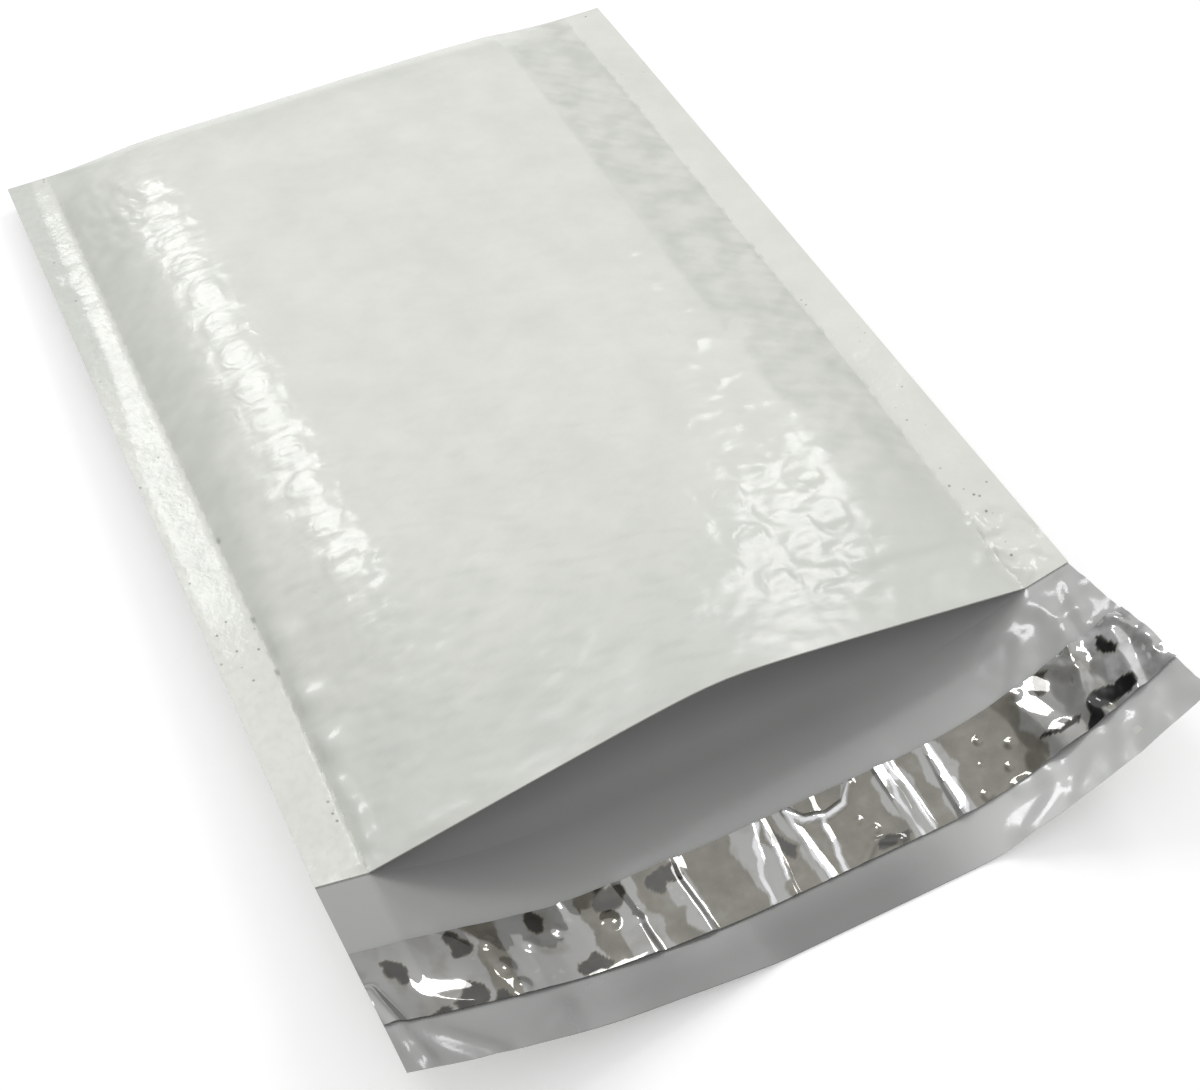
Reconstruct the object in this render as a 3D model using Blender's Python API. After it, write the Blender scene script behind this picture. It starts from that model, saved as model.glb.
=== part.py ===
# Padded mailing envelope with a self-seal lip, lying open on a table.
# Four pieces: the outer film pouch, the bubble lining in it, and on the lip a strip of
# adhesive under its release liner.
#
# Lengths are in metres. Z is up, the table is z = 0, Y runs from the lip to the bottom fold.
# Inside this file a place on the film is given by two numbers, both measured on the flat film:
# across, from the centre line to a side edge, and along, from the mouth line to the bottom
# fold. Along is negative on the lip.

import math

import bmesh
import bpy

MM = 0.001

# Outer film, as cut and folded
FILM_WIDTH = 165.0 * MM
BODY_LENGTH = 219.0 * MM
LIP_LENGTH = 43.5 * MM
FILM = 0.4 * MM
SEAM_WIDTH = 10.0 * MM

# How the pouch lies: heights of the side seams' outer edges over the table
SEAM_AT_FOLD = 5.5 * MM
SEAM_AT_MOUTH = 15.0 * MM
SEAM_DIP = 3.0 * MM
SEAM_DIP_REACH = 80.0 * MM

# How far each side edge is drawn in from its flat place by the swell between the seams
DRAWN_IN_AT_FOLD = 0.5 * MM
DRAWN_IN_AT_MOUTH = 2.0 * MM
DRAWN_IN_AT_LIP = 4.0 * MM

# Front panel, a pillow on the seams that opens into a gable at the mouth
FRONT_SWELL = 9.0 * MM
FRONT_SHOULDER = 30.0 * MM
FRONT_FOLD_REACH = 26.0 * MM
MOUTH_RISE = 14.2 * MM
MOUTH_PEAK_RADIUS = 10.0 * MM
MOUTH_REACH = 60.0 * MM

# Back panel, flat on the table between two curved sides
BACK_FLAT_HALF = 34.0 * MM
BACK_FOLD_REACH = 14.0 * MM

# Lip, the back panel carried on past the mouth, its corners curling up
LIP_CURL_LEFT = 10.0 * MM
LIP_CURL_RIGHT = 12.5 * MM
LIP_FLAT_LEFT = 5.0 * MM
LIP_FLAT_RIGHT = 34.0 * MM
LIP_CURVE = 1.8
LIP_CORNER_DRAW = 1.5 * MM

# Bubble lining: one web folded at the bottom, bubbles outwards
LINING_START = 14.0 * MM
LINING_FILM = 0.5 * MM
LINING_SIDE_GAP = 1.5 * MM
LINING_FOLD_GAP = 0.8 * MM
LINING_HOLLOW_SIDE = 4.0 * MM
LINING_HOLLOW_FOLD = 6.0 * MM
BUBBLE_HEIGHT = 3.5 * MM
BUBBLE_DIAMETER = 9.6 * MM
BUBBLE_PITCH = 11.0 * MM
BUBBLE_COLUMN = 9.4 * MM
BUBBLE_FOLD_MARGIN = 6.0 * MM
SHOW_THROUGH = 0.6 * MM

# Share of the swell that each layer keeps in the wedge beside a weld, where it is squeezed
CROWN_SHARE = 0.75
WEB_SHARE = 0.35
HOLLOW_SHARE = 0.2

# Closing strip on the lip's inner face
STRIP_START = 18.5 * MM
STRIP_WIDTH = 13.5 * MM
STRIP_THICKNESS = 0.5 * MM
STRIP_END_MARGIN = 2.0 * MM
LINER_OVERLAP = 1.5 * MM
LINER_THICKNESS = 0.4 * MM

# Air left between two pieces that touch
CLEARANCE = 0.3 * MM

# Mesh fineness
FRONT_ROWS_PER_BUBBLE = 4
LINING_ROWS_PER_BUBBLE = 2
COARSE_ROW = 14.0 * MM
LIP_ROW = 8.0 * MM
LEAST_ROW = 0.5 * MM
ROUND_STEPS = (35, 52, 66, 78, 86)
MERGE = 0.001 * MM

# Derived sizes
HALF = FILM_WIDTH / 2
WELD = HALF - SEAM_WIDTH
Y_SHIFT = (BODY_LENGTH - LIP_LENGTH) / 2
BUBBLE_PAIRS = int((WELD - LINING_SIDE_GAP) / BUBBLE_COLUMN)
BUBBLE_ROWS = int((BODY_LENGTH - BUBBLE_FOLD_MARGIN - LINING_START) / BUBBLE_PITCH)
BUBBLE_EDGE = BUBBLE_PAIRS * BUBBLE_COLUMN
BUBBLE_END = LINING_START + BUBBLE_ROWS * BUBBLE_PITCH


def share(value):
    return min(max(value, 0.0), 1.0)


def ease(value):
    value = share(value)
    return value * value * (3 - 2 * value)


def mix(a, b, amount):
    return a + (b - a) * amount


def drawn_in(along):
    if along < 0:
        return mix(DRAWN_IN_AT_MOUTH, DRAWN_IN_AT_LIP, -along / LIP_LENGTH)
    return mix(DRAWN_IN_AT_MOUTH, DRAWN_IN_AT_FOLD, along / BODY_LENGTH)


def lip_rise(across):
    """0 on the lip's flat middle, curving up to 1 at its side edges."""
    flat = LIP_FLAT_LEFT if across < 0 else LIP_FLAT_RIGHT
    return share((abs(across) - flat) / (HALF - flat)) ** LIP_CURVE


def place(across, along, height):
    """The point of space for a place on the film that lies that high over the table."""
    corner = LIP_CORNER_DRAW * lip_rise(across) * share(-along / LIP_LENGTH)
    return (across * (1 - drawn_in(along) / HALF), along + corner - Y_SHIFT, height)


def seam_height(along):
    """Outer edge of the side seams."""
    return mix(SEAM_AT_MOUTH, SEAM_AT_FOLD, share(along / BODY_LENGTH))


def weld_height(along):
    """Inner edge of the side seams, where front and back part. It sags near the mouth."""
    return seam_height(along) - SEAM_DIP * ease(1 - along / SEAM_DIP_REACH)


def seam_level(across, along):
    """Plane in which front and back film are welded to each other."""
    out = share((abs(across) - WELD) / SEAM_WIDTH)
    return mix(weld_height(along), seam_height(along), out)


def fold_round(along, end, reach):
    """1 on the panel, falling as a quarter ellipse to 0 at the fold."""
    return math.sqrt(1 - share((along - end + reach) / reach) ** 2)


def front_swell(across, along):
    """Height of the front film over the seams, before it turns down into the fold."""
    pillow = math.sin(share((WELD - abs(across)) / FRONT_SHOULDER) * math.pi / 2)
    body = (FRONT_SWELL + seam_height(along) - weld_height(along)) * pillow
    run = math.hypot(WELD, MOUTH_PEAK_RADIUS) - MOUTH_PEAK_RADIUS
    gone = (math.hypot(min(abs(across), WELD), MOUTH_PEAK_RADIUS) - MOUTH_PEAK_RADIUS) / run
    return mix(body, MOUTH_RISE * (1 - gone), ease(1 - along / MOUTH_REACH))


def back_swell(across, along):
    """Depth of the back film under the seams: down to the table over its flat middle."""
    rise = share((WELD - abs(across)) / (WELD - BACK_FLAT_HALF))
    return (weld_height(along) - FILM) * (1 - (1 - rise) ** 2)


def squeezed(swell, depth, least):
    """Height left under a layer that deep, which gets thinner in the wedge beside a weld."""
    return max(swell - depth, swell * least)


def dome(across, along):
    """1 on a bubble's crown and 0 round its foot. Every second column is half a pitch on."""
    column = math.floor(across / BUBBLE_COLUMN)
    if not -BUBBLE_PAIRS <= column < BUBBLE_PAIRS:
        return 0.0
    shift = BUBBLE_PITCH / 2 * (column % 2)
    first = LINING_START + BUBBLE_PITCH / 2 + shift
    count = BUBBLE_ROWS - column % 2
    row = min(max(round((along - first) / BUBBLE_PITCH), 0), count - 1)
    off = math.hypot(across - (column + 0.5) * BUBBLE_COLUMN, along - first - row * BUBBLE_PITCH)
    return math.sqrt(1 - share(off / (BUBBLE_DIAMETER / 2)) ** 2)


def film_front_outer(across, along):
    swell = front_swell(across, along) + FILM + SHOW_THROUGH * dome(across, along)
    rise = swell * fold_round(along, BODY_LENGTH, FRONT_FOLD_REACH)
    return place(across, along, seam_level(across, along) + rise)


def film_front_inner(across, along):
    rise = front_swell(across, along) * fold_round(along, BODY_LENGTH - FILM, FRONT_FOLD_REACH)
    return place(across, along, seam_level(across, along) + rise)


def lip_height(across, along):
    """Underside of the lip: a trough, flat on the table in the middle."""
    curl = LIP_CURL_LEFT if across < 0 else LIP_CURL_RIGHT
    out = share(-along / LIP_LENGTH)
    edge = SEAM_AT_MOUTH - FILM + curl * out
    mouth = seam_level(across, 0) - FILM - back_swell(across, 0)
    return mix(mouth, edge * lip_rise(across), ease(out))


def film_back_outer(across, along):
    if along < 0:
        return place(across, along, lip_height(across, along))
    fall = (back_swell(across, along) + FILM) * fold_round(along, BODY_LENGTH, BACK_FOLD_REACH)
    return place(across, along, seam_level(across, along) - fall)


def film_back_inner(across, along):
    if along < 0:
        return place(across, along, lip_height(across, along) + FILM)
    fall = back_swell(across, along) * fold_round(along, BODY_LENGTH - FILM, BACK_FOLD_REACH)
    return place(across, along, seam_level(across, along) - fall)


def lining_point(swell, side, end, reach, up):
    """Maker of a lining face: swell gives its height off the seams, side and end its edges."""

    def point(across, along):
        rise = swell(across, across * WELD / side, along) * fold_round(along, end, reach)
        return place(across, along, weld_height(along) + up * rise)

    return point


def lining_outer(panel_swell):
    """Web and bubbles: a bubble stands on the web and reaches up to the film over it."""

    def swell(across, wide, along):
        room = panel_swell(wide, along)
        crown = squeezed(room, CLEARANCE, CROWN_SHARE)
        web = squeezed(room, CLEARANCE + BUBBLE_HEIGHT, WEB_SHARE)
        return mix(web, crown, dome(across, along))

    return swell


def lining_inner(panel_swell):
    """Flat backing film, the face that the contents touch."""

    def swell(across, wide, along):
        depth = CLEARANCE + BUBBLE_HEIGHT + LINING_FILM
        return squeezed(panel_swell(wide, along), depth, HOLLOW_SHARE)

    return swell


def steps(start, end, longest):
    """Even stations from start to end, both included."""
    count = max(1, math.ceil(abs(end - start) / longest - 1e-6))
    return [mix(start, end, i / count) for i in range(count + 1)]


def round_rows(start, end, reach):
    """Stations from start into a fold that ends at end, closer together where it turns."""
    rows = [end - reach + reach * math.sin(math.radians(angle)) for angle in ROUND_STEPS]
    return [row for row in rows if row > start + LEAST_ROW] + [end]


def across_columns(per_bubble, *edges):
    """Columns on the bubbles' centre lines, and between them, then one at each given edge."""
    count = BUBBLE_PAIRS * per_bubble
    inner = [BUBBLE_EDGE * i / count for i in range(-count, count + 1)]
    outer = sorted(edge for edge in edges if edge > BUBBLE_EDGE + LEAST_ROW)
    return [-edge for edge in reversed(outer)] + inner + outer


def add_sheet(mesh, columns, rows, point, up):
    """A grid of faces, seen from above if up. Its vertices are returned row by row."""
    lines = [[mesh.verts.new(point(c, r)) for c in columns] for r in rows]
    for near, far in zip(lines, lines[1:]):
        for i in range(len(columns) - 1):
            ring = (near[i], near[i + 1], far[i + 1], far[i])
            mesh.faces.new(ring if up else ring[::-1])
    return lines


def add_band(mesh, first, second):
    """Fills the narrow band between two edges, which may have different numbers of points."""
    i = j = 0
    while i < len(first) - 1 or j < len(second) - 1:
        along_first = i < len(first) - 1 and (
            j == len(second) - 1
            or (first[i + 1].co - second[j].co).length <= (second[j + 1].co - first[i].co).length
        )
        ring = (first[i], first[i + 1], second[j]) if along_first else (first[i], second[j + 1], second[j])
        if len(set(ring)) == 3:
            mesh.faces.new(ring)
        i, j = (i + 1, j) if along_first else (i, j + 1)


def edge_of(lines, index):
    return [line[index] for line in lines]


def finish(mesh, name, colour, roughness, alpha=1.0):
    """Merges edges drawn twice, turns the faces outwards and makes the object."""
    bmesh.ops.remove_doubles(mesh, verts=mesh.verts, dist=MERGE)
    bmesh.ops.triangulate(mesh, faces=[face for face in mesh.faces if len(face.verts) > 3])
    bmesh.ops.recalc_face_normals(mesh, faces=mesh.faces)
    data = bpy.data.meshes.new(name)
    mesh.to_mesh(data)
    mesh.free()
    data.shade_smooth()
    data.set_sharp_from_angle(angle=math.radians(50))
    material = bpy.data.materials.new(name)
    material.use_nodes = True
    shader = material.node_tree.nodes["Principled BSDF"]
    shader.inputs["Base Color"].default_value = (*colour, 1.0)
    shader.inputs["Roughness"].default_value = roughness
    shader.inputs["Alpha"].default_value = alpha
    data.materials.append(material)
    thing = bpy.data.objects.new(name, data)
    bpy.context.scene.collection.objects.link(thing)


def make_outer_film():
    """One film from the front mouth edge round the bottom fold to the lip's free edge."""
    mesh = bmesh.new()
    bubble_rows = steps(LINING_START, BUBBLE_END, BUBBLE_PITCH / FRONT_ROWS_PER_BUBBLE)
    fine_rows = steps(0, LINING_START, LINING_START / 2)[:-1] + bubble_rows
    fine_rows += round_rows(BUBBLE_END, BODY_LENGTH, FRONT_FOLD_REACH)[:-1]
    back_start = BODY_LENGTH - BACK_FOLD_REACH
    body_rows = steps(0, back_start, COARSE_ROW)
    back_rows = body_rows + round_rows(back_start, BODY_LENGTH, BACK_FOLD_REACH)
    inner_rows = body_rows + round_rows(back_start, BODY_LENGTH - FILM, BACK_FOLD_REACH)
    lip_rows = steps(-LIP_LENGTH, 0, LIP_ROW)[:-1]

    inner_columns = across_columns(1, WELD)
    wide_columns = across_columns(1, WELD, HALF)
    front = add_sheet(mesh, across_columns(2, WELD, HALF), fine_rows, film_front_outer, True)
    back = add_sheet(mesh, wide_columns, lip_rows + back_rows, film_back_outer, False)
    front_in = add_sheet(mesh, inner_columns, inner_rows, film_front_inner, False)
    back_in = add_sheet(mesh, inner_columns, inner_rows, film_back_inner, True)
    lip_in = add_sheet(mesh, wide_columns, lip_rows + [0], film_back_inner, True)

    # The weld line on the outer sides, from the mouth corner to the fold corner
    mouth = len(lip_rows)
    for edge, across in ((0, -HALF), (-1, HALF)):
        rows = back_rows[1:-1]
        weld = [mesh.verts.new(place(across, row, seam_height(row))) for row in rows]
        weld = [lip_in[-1][edge], *weld, back[-1][edge]]
        add_band(mesh, weld, edge_of(back, edge)[mouth:])
        add_band(mesh, edge_of(front, edge), weld)
        add_band(mesh, edge_of(lip_in, edge), edge_of(back, edge)[: mouth + 1])

    add_band(mesh, front[-1], back[-1])
    add_band(mesh, back[0], lip_in[0])
    add_band(mesh, front[0], [lip_in[-1][0], *front_in[0], lip_in[-1][-1]])
    finish(mesh, "outer_film", (0.76, 0.77, 0.74), 0.35)


def make_bubble_lining():
    """A bag in the bag: front and back web meet at the sides and at the bottom fold."""
    mesh = bmesh.new()
    outer_side, outer_end = WELD - LINING_SIDE_GAP, BODY_LENGTH - FILM - LINING_FOLD_GAP
    inner_side, inner_end = WELD - LINING_HOLLOW_SIDE, BODY_LENGTH - LINING_HOLLOW_FOLD
    rows = steps(LINING_START, BUBBLE_END, BUBBLE_PITCH / LINING_ROWS_PER_BUBBLE)
    rows += round_rows(BUBBLE_END, outer_end, BACK_FOLD_REACH)
    inner_start = inner_end - BACK_FOLD_REACH
    inner_rows = steps(LINING_START, inner_start, COARSE_ROW)
    inner_rows += round_rows(inner_start, inner_end, BACK_FOLD_REACH)

    columns = across_columns(2, outer_side)
    inner_columns = steps(-inner_side, inner_side, BUBBLE_COLUMN)
    panels = ((front_swell, FRONT_FOLD_REACH, 1), (back_swell, BACK_FOLD_REACH, -1))
    for swell, reach, up in panels:
        outer = lining_point(lining_outer(swell), outer_side, outer_end, reach, up)
        inner = lining_point(lining_inner(swell), inner_side, inner_end, reach, up)
        shell = add_sheet(mesh, columns, rows, outer, up > 0)
        hollow = add_sheet(mesh, inner_columns, inner_rows, inner, up < 0)
        add_band(mesh, shell[0], hollow[0])
    finish(mesh, "bubble_lining", (0.60, 0.62, 0.62), 0.3, 0.6)


def make_lip_strip(name, start, width, margin, lift, thickness, colour, roughness, alpha):
    """A flat strip across the lip, that high over its inner face."""
    mesh = bmesh.new()
    reach = HALF - margin
    columns = [max(-reach, min(reach, c)) for c in across_columns(1, WELD, HALF)]
    rows = steps(-start - width, -start, LIP_ROW)

    def level(up):
        return lambda c, r: place(c, r, lip_height(c, r) + FILM + lift + up)

    low = add_sheet(mesh, columns, rows, level(0), False)
    high = add_sheet(mesh, columns, rows, level(thickness), True)
    add_band(mesh, low[0], high[0])
    add_band(mesh, high[-1], low[-1])
    add_band(mesh, edge_of(high, 0), edge_of(low, 0))
    add_band(mesh, edge_of(low, -1), edge_of(high, -1))
    finish(mesh, name, colour, roughness, alpha)


def main():
    for thing in list(bpy.data.objects):
        bpy.data.objects.remove(thing)
    make_outer_film()
    make_bubble_lining()
    make_lip_strip(
        "adhesive_strip", STRIP_START, STRIP_WIDTH, STRIP_END_MARGIN,
        CLEARANCE, STRIP_THICKNESS, (0.80, 0.76, 0.62), 0.25, 0.8,
    )
    make_lip_strip(
        "release_liner", STRIP_START - LINER_OVERLAP, STRIP_WIDTH + 2 * LINER_OVERLAP, 0.0,
        2 * CLEARANCE + STRIP_THICKNESS, LINER_THICKNESS, (0.72, 0.72, 0.74), 0.08, 0.5,
    )


main()
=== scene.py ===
# Looks of the padded mailing envelope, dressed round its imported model.
# A place on the film is given by two numbers, both measured on the flat film in metres:
# across, from the centre line to a side edge, and along, from the mouth line to the
# bottom fold. Along is negative on the lip.
import math

import bmesh
import bpy
import numpy as np
from mathutils import Matrix


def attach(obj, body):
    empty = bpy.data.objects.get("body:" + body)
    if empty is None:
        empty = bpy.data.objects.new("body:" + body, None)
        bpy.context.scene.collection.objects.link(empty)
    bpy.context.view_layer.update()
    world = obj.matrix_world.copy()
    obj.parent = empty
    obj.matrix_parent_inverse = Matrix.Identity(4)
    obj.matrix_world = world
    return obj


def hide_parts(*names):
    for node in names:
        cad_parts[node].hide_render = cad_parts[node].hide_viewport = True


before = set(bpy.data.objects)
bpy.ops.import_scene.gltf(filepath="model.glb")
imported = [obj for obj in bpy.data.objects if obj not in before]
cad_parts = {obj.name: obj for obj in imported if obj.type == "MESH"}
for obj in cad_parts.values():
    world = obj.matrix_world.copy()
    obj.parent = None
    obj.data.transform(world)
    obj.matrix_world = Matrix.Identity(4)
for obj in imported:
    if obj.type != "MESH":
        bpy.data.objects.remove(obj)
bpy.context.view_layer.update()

mm = 0.001

# The envelope's form, repeated from the CAD model, which this script can't read
pouch = {
    "width": 165.0 * mm, "body": 219.0 * mm, "lip": 43.5 * mm, "film": 0.4 * mm,
    "seam": 10.0 * mm, "seamAtFold": 5.5 * mm, "seamAtMouth": 15.0 * mm,
    "seamDip": 3.0 * mm, "dipReach": 80.0 * mm,
    "drawnAtFold": 0.5 * mm, "drawnAtMouth": 2.0 * mm, "drawnAtLip": 3.4 * mm,
    "swell": 9.0 * mm, "shoulder": 30.0 * mm, "foldReach": 26.0 * mm,
    "mouthRise": 14.2 * mm, "peakRadius": 10.0 * mm, "mouthReach": 60.0 * mm,
    "flatHalf": 34.0 * mm, "backFoldReach": 14.0 * mm,
    "curlLeft": 10.0 * mm, "curlRight": 12.5 * mm, "flatLeft": 5.0 * mm, "flatRight": 34.0 * mm,
    "lipCurve": 1.8, "cornerDraw": 1.5 * mm,
}
half = pouch["width"] / 2
weld = half - pouch["seam"]                    # the inner edge of each side weld
yShift = (pouch["body"] - pouch["lip"]) / 2    # from the mouth line to the frame's origin

# Air bubbles of the lining: their lattice, and how they press through the films
bubbles = {
    "start": 14.0 * mm, "diameter": 9.6 * mm, "pitch": 11.0 * mm, "column": 9.4 * mm,
    "height": 3.5 * mm, "pairs": 7, "rows": 18,
}
bubbleEdge = bubbles["pairs"] * bubbles["column"]


def share(value):
    return np.clip(value, 0.0, 1.0)


def ease(value):
    value = share(value)
    return value * value * (3 - 2 * value)


def mix(a, b, amount):
    return a + (b - a) * amount


# From here to folded, the first values of each helper are in metres, and the places, widths,
# sizes and heights that follow them in millimetres. This one is 0 before start, 1 past end
def rising(value, start, end):
    return ease((value - start * mm) / ((end - start) * mm))


def falling(value, start, end):
    return ease((end * mm - value) / ((end - start) * mm))


# 1 at the centre, close to 0 at twice the width from it
def hump(value, centre, width):
    return np.exp(-(((value - centre * mm) / (width * mm)) ** 2))


# 0 at the welds, 1 further in than the reach
def insideWelds(across, reach):
    return ease((weld - np.abs(across)) / (reach * mm))


# Smooth random height between about -1 and 1, with features about one size apart
def unevenness(x, y, size, seed, octaves=1):
    total = np.zeros(np.broadcast(x, y).shape)
    for octave in range(octaves):
        angle = np.random.default_rng(seed * 31 + octave).uniform(0, 2 * math.pi, (256, 256))
        u = x / (size * mm) * 2**octave + 101.3
        v = y / (size * mm) * 2**octave + 67.7
        i, j = np.floor(u).astype(int), np.floor(v).astype(int)
        fu, fv = u - i, v - j
        su, sv = fu**3 * (fu * (6 * fu - 15) + 10), fv**3 * (fv * (6 * fv - 15) + 10)
        corner = {}
        for di in (0, 1):
            for dj in (0, 1):
                way = angle[(i + di) % 256, (j + dj) % 256]
                corner[di, dj] = np.cos(way) * (fu - di) + np.sin(way) * (fv - dj)
        near = mix(corner[0, 0], corner[1, 0], su)
        far = mix(corner[0, 1], corner[1, 1], su)
        total = total + 1.5 * mix(near, far, sv) / 2**octave
    return total


# Flat facets that meet in sharp folds, as in crumpled film: random heights joined by planes
def facets(x, y, size, seed):
    table = np.random.default_rng(seed).uniform(-1, 1, (128, 128))
    u = x / (size * mm) + 0.35 * unevenness(x, y, 2.3 * size, seed + 1) + 50.2
    v = y / (size * mm) + 0.35 * unevenness(x, y, 2.3 * size, seed + 2) + 40.6
    u = u + 0.5 * v
    i, j = np.floor(u).astype(int), np.floor(v).astype(int)
    fu, fv = u - i, v - j

    def height(di, dj):
        return table[(i + di) % 128, (j + dj) % 128]

    lower = height(0, 0) + fu * (height(1, 0) - height(0, 0)) + fv * (height(1, 1) - height(1, 0))
    upper = height(0, 0) + fv * (height(0, 1) - height(0, 0)) + fu * (height(1, 1) - height(0, 1))
    return np.where(fu > fv, lower, upper)


# Sharp creases with smooth film between them: 0 on a crease, about 1 far from it
def creased(x, y, size, seed, octaves=1):
    total = 0.0
    for octave in range(octaves):
        total = total + np.abs(unevenness(x, y, size / 1.9**octave, seed + 7 * octave)) / 1.9**octave
    return total


# 1 on a line through the given places, falling to 0 at the given width
def ridge(across, along, places, width):
    nearest = np.full(np.broadcast(across, along).shape, np.inf)
    for (x0, y0), (x1, y1) in zip(places[:-1], places[1:]):
        dx, dy = (x1 - x0) * mm, (y1 - y0) * mm
        offX, offY = across - x0 * mm, along - y0 * mm
        part = share((offX * dx + offY * dy) / (dx * dx + dy * dy))
        nearest = np.minimum(nearest, np.hypot(offX - part * dx, offY - part * dy))
    return share(1 - nearest / (width * mm))


# The height of folds in the film, each given by its places, width and height
def folded(across, along, folds):
    total = 0.0
    for places, width, height in folds:
        total = total + height * mm * ease(ridge(across, along, places, width))
    return total


def drawnIn(along):
    lip = mix(pouch["drawnAtMouth"], pouch["drawnAtLip"], -along / pouch["lip"])
    body = mix(pouch["drawnAtMouth"], pouch["drawnAtFold"], along / pouch["body"])
    return np.where(along < 0, lip, body)


# 0 on the lip's flat middle, curving up to 1 at its side edges
def lipRise(across):
    flat = np.where(across < 0, pouch["flatLeft"], pouch["flatRight"])
    return share((np.abs(across) - flat) / (half - flat)) ** pouch["lipCurve"]


def place(across, along, height):
    corner = pouch["cornerDraw"] * lipRise(across) * share(-along / pouch["lip"])
    return across * (1 - drawnIn(along) / half), along + corner - yShift, height


def seamHeight(along):
    return mix(pouch["seamAtMouth"], pouch["seamAtFold"], share(along / pouch["body"]))


def weldHeight(along):
    return seamHeight(along) - pouch["seamDip"] * ease(1 - along / pouch["dipReach"])


def seamLevel(across, along):
    out = share((np.abs(across) - weld) / pouch["seam"])
    return mix(weldHeight(along), seamHeight(along), out)


def foldRound(along, end, reach):
    return np.sqrt(np.maximum(1 - share((along - end + reach) / reach) ** 2, 0))


frontPanel = {
    "creaseAt": 48.0 * mm,         # side crease on the right, where the top turns down
    "creaseShare": 0.93,           # height that the film has reached there
    "creaseRound": 16.0 * mm,      # the way from there to the full height
    "creaseGrows": (60, 110),      # mm along the film between which it takes shape
    "showThrough": 0.15 * mm,      # height of a bubble under the film
    "creep": 2.3 * mm,             # the film has crept over the bubbles, towards the mouth
    "stray": 1.1 * mm,             # how far a bubble's mark wanders from the bubble
    "tip": (14.0 * mm, 3.6 * mm),  # the way over which a tipped bubble rises, left and right
    # how strongly the bubbles show: anywhere, on the left shoulder, low on the right, and in
    # a chain along the right shoulder
    "leastMark": 0.16, "leftMark": 0.7, "rightMark": 2.1, "chainMark": 3.0,
    # how strongly fine slack ripples show: anywhere, on the left shoulder and on the right one
    "leastSlack": 0.13, "leftSlack": 0.8, "rightSlack": 0.15,
    "brow": 1.3 * mm,              # the bubbles hold the film up a little short of the crease
    "padEnd": 0.35 * mm, "dent": 0.4 * mm, "sag": 0.35 * mm, "crumple": 0.08 * mm,
    "ripple": 0.1 * mm, "hatch": 0.05 * mm, "pucker": 1.4 * mm, "fan": 0.42 * mm,
    # puckers along the welds near the mouth and short folds on the left shoulder: places,
    # width and height in mm
    "folds": (
        (((72.5, 19), (74.6, 14), (73.4, 9.5), (76, 5), (73, 0)), 2.4, 0.8),
        (((76, 12), (79, 9), (81, 4)), 2.2, 0.45), (((68, 9), (72, 13)), 2.4, 0.4),
        (((-70.6, 19), (-69.4, 12), (-70.4, 6)), 2.8, 0.6),
        (((-53, 45), (-48.5, 46)), 1.8, 0.16), (((-52, 34.5), (-47.5, 35.6)), 1.8, 0.16),
        (((-44.5, 51.5), (-40.5, 53)), 1.8, 0.14), (((-47.5, 61.5), (-43.5, 63)), 1.8, 0.14),
        (((-56.5, 29), (-52, 30)), 1.8, 0.14),
    ),
    # places where the film pillows up beside the left weld: place and height in mm
    "pillows": ((-70.0, 53.5, 0.8), (-70.2, 39.0, 1.4), (-69.6, 27.4, 1.4)),
    "pillowHalf": (3.6, 2.9),      # half-width and half-length of a pillow in mm
    # dark dots along the left weld's foot: places and size in mm, and how dark they are
    "footDots": ((-72.0, 84.3), (-72.4, 61.8), (-72.4, 47.8)), "footDotSize": 0.4, "footDotTone": 0.7,
}


def frontSwell(across, along):
    inside = weld - np.abs(across)
    soft = np.sin(share(inside / pouch["shoulder"]) * math.pi / 2)
    ramp = weld - frontPanel["creaseAt"]
    flank = frontPanel["creaseShare"] * share(inside / ramp)
    top = (1 - frontPanel["creaseShare"]) * ease((inside - ramp) / frontPanel["creaseRound"])
    sharpness = np.where(across > 0, rising(along, *frontPanel["creaseGrows"]), 0.0)
    pillow = mix(soft, flank + top, sharpness)
    body = (pouch["swell"] + seamHeight(along) - weldHeight(along)) * pillow
    radius = pouch["peakRadius"]
    run = math.hypot(weld, radius) - radius
    gone = (np.hypot(np.minimum(np.abs(across), weld), radius) - radius) / run
    return mix(body, pouch["mouthRise"] * (1 - gone), ease(1 - along / pouch["mouthReach"]))


def backSwell(across, along):
    rise = share((weld - np.abs(across)) / (weld - pouch["flatHalf"]))
    return (weldHeight(along) - pouch["film"]) * (1 - (1 - rise) ** 2)


# The way from the nearest bubble's centre, and that bubble's own chances
def nearestBubble(across, along):
    column = np.floor(across / bubbles["column"]).astype(int)
    column = np.clip(column, -bubbles["pairs"], bubbles["pairs"] - 1)
    odd = column % 2
    first = bubbles["start"] + bubbles["pitch"] / 2 * (1 + odd)
    row = np.clip(np.round((along - first) / bubbles["pitch"]), 0, bubbles["rows"] - 1 - odd)
    du = across - (column + 0.5) * bubbles["column"]
    dv = along - first - row * bubbles["pitch"]
    chance = np.random.default_rng(5).uniform(-1, 1, (3, 2 * bubbles["pairs"], bubbles["rows"]))
    return du, dv, chance[:, column + bubbles["pairs"], row.astype(int)]


# 1 on a bubble's crown and 0 round its foot
def dome(across, along):
    du, dv, _ = nearestBubble(across, along)
    off = np.hypot(du, dv) / (bubbles["diameter"] / 2)
    return np.sqrt(1 - share(off) ** 2)


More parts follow.
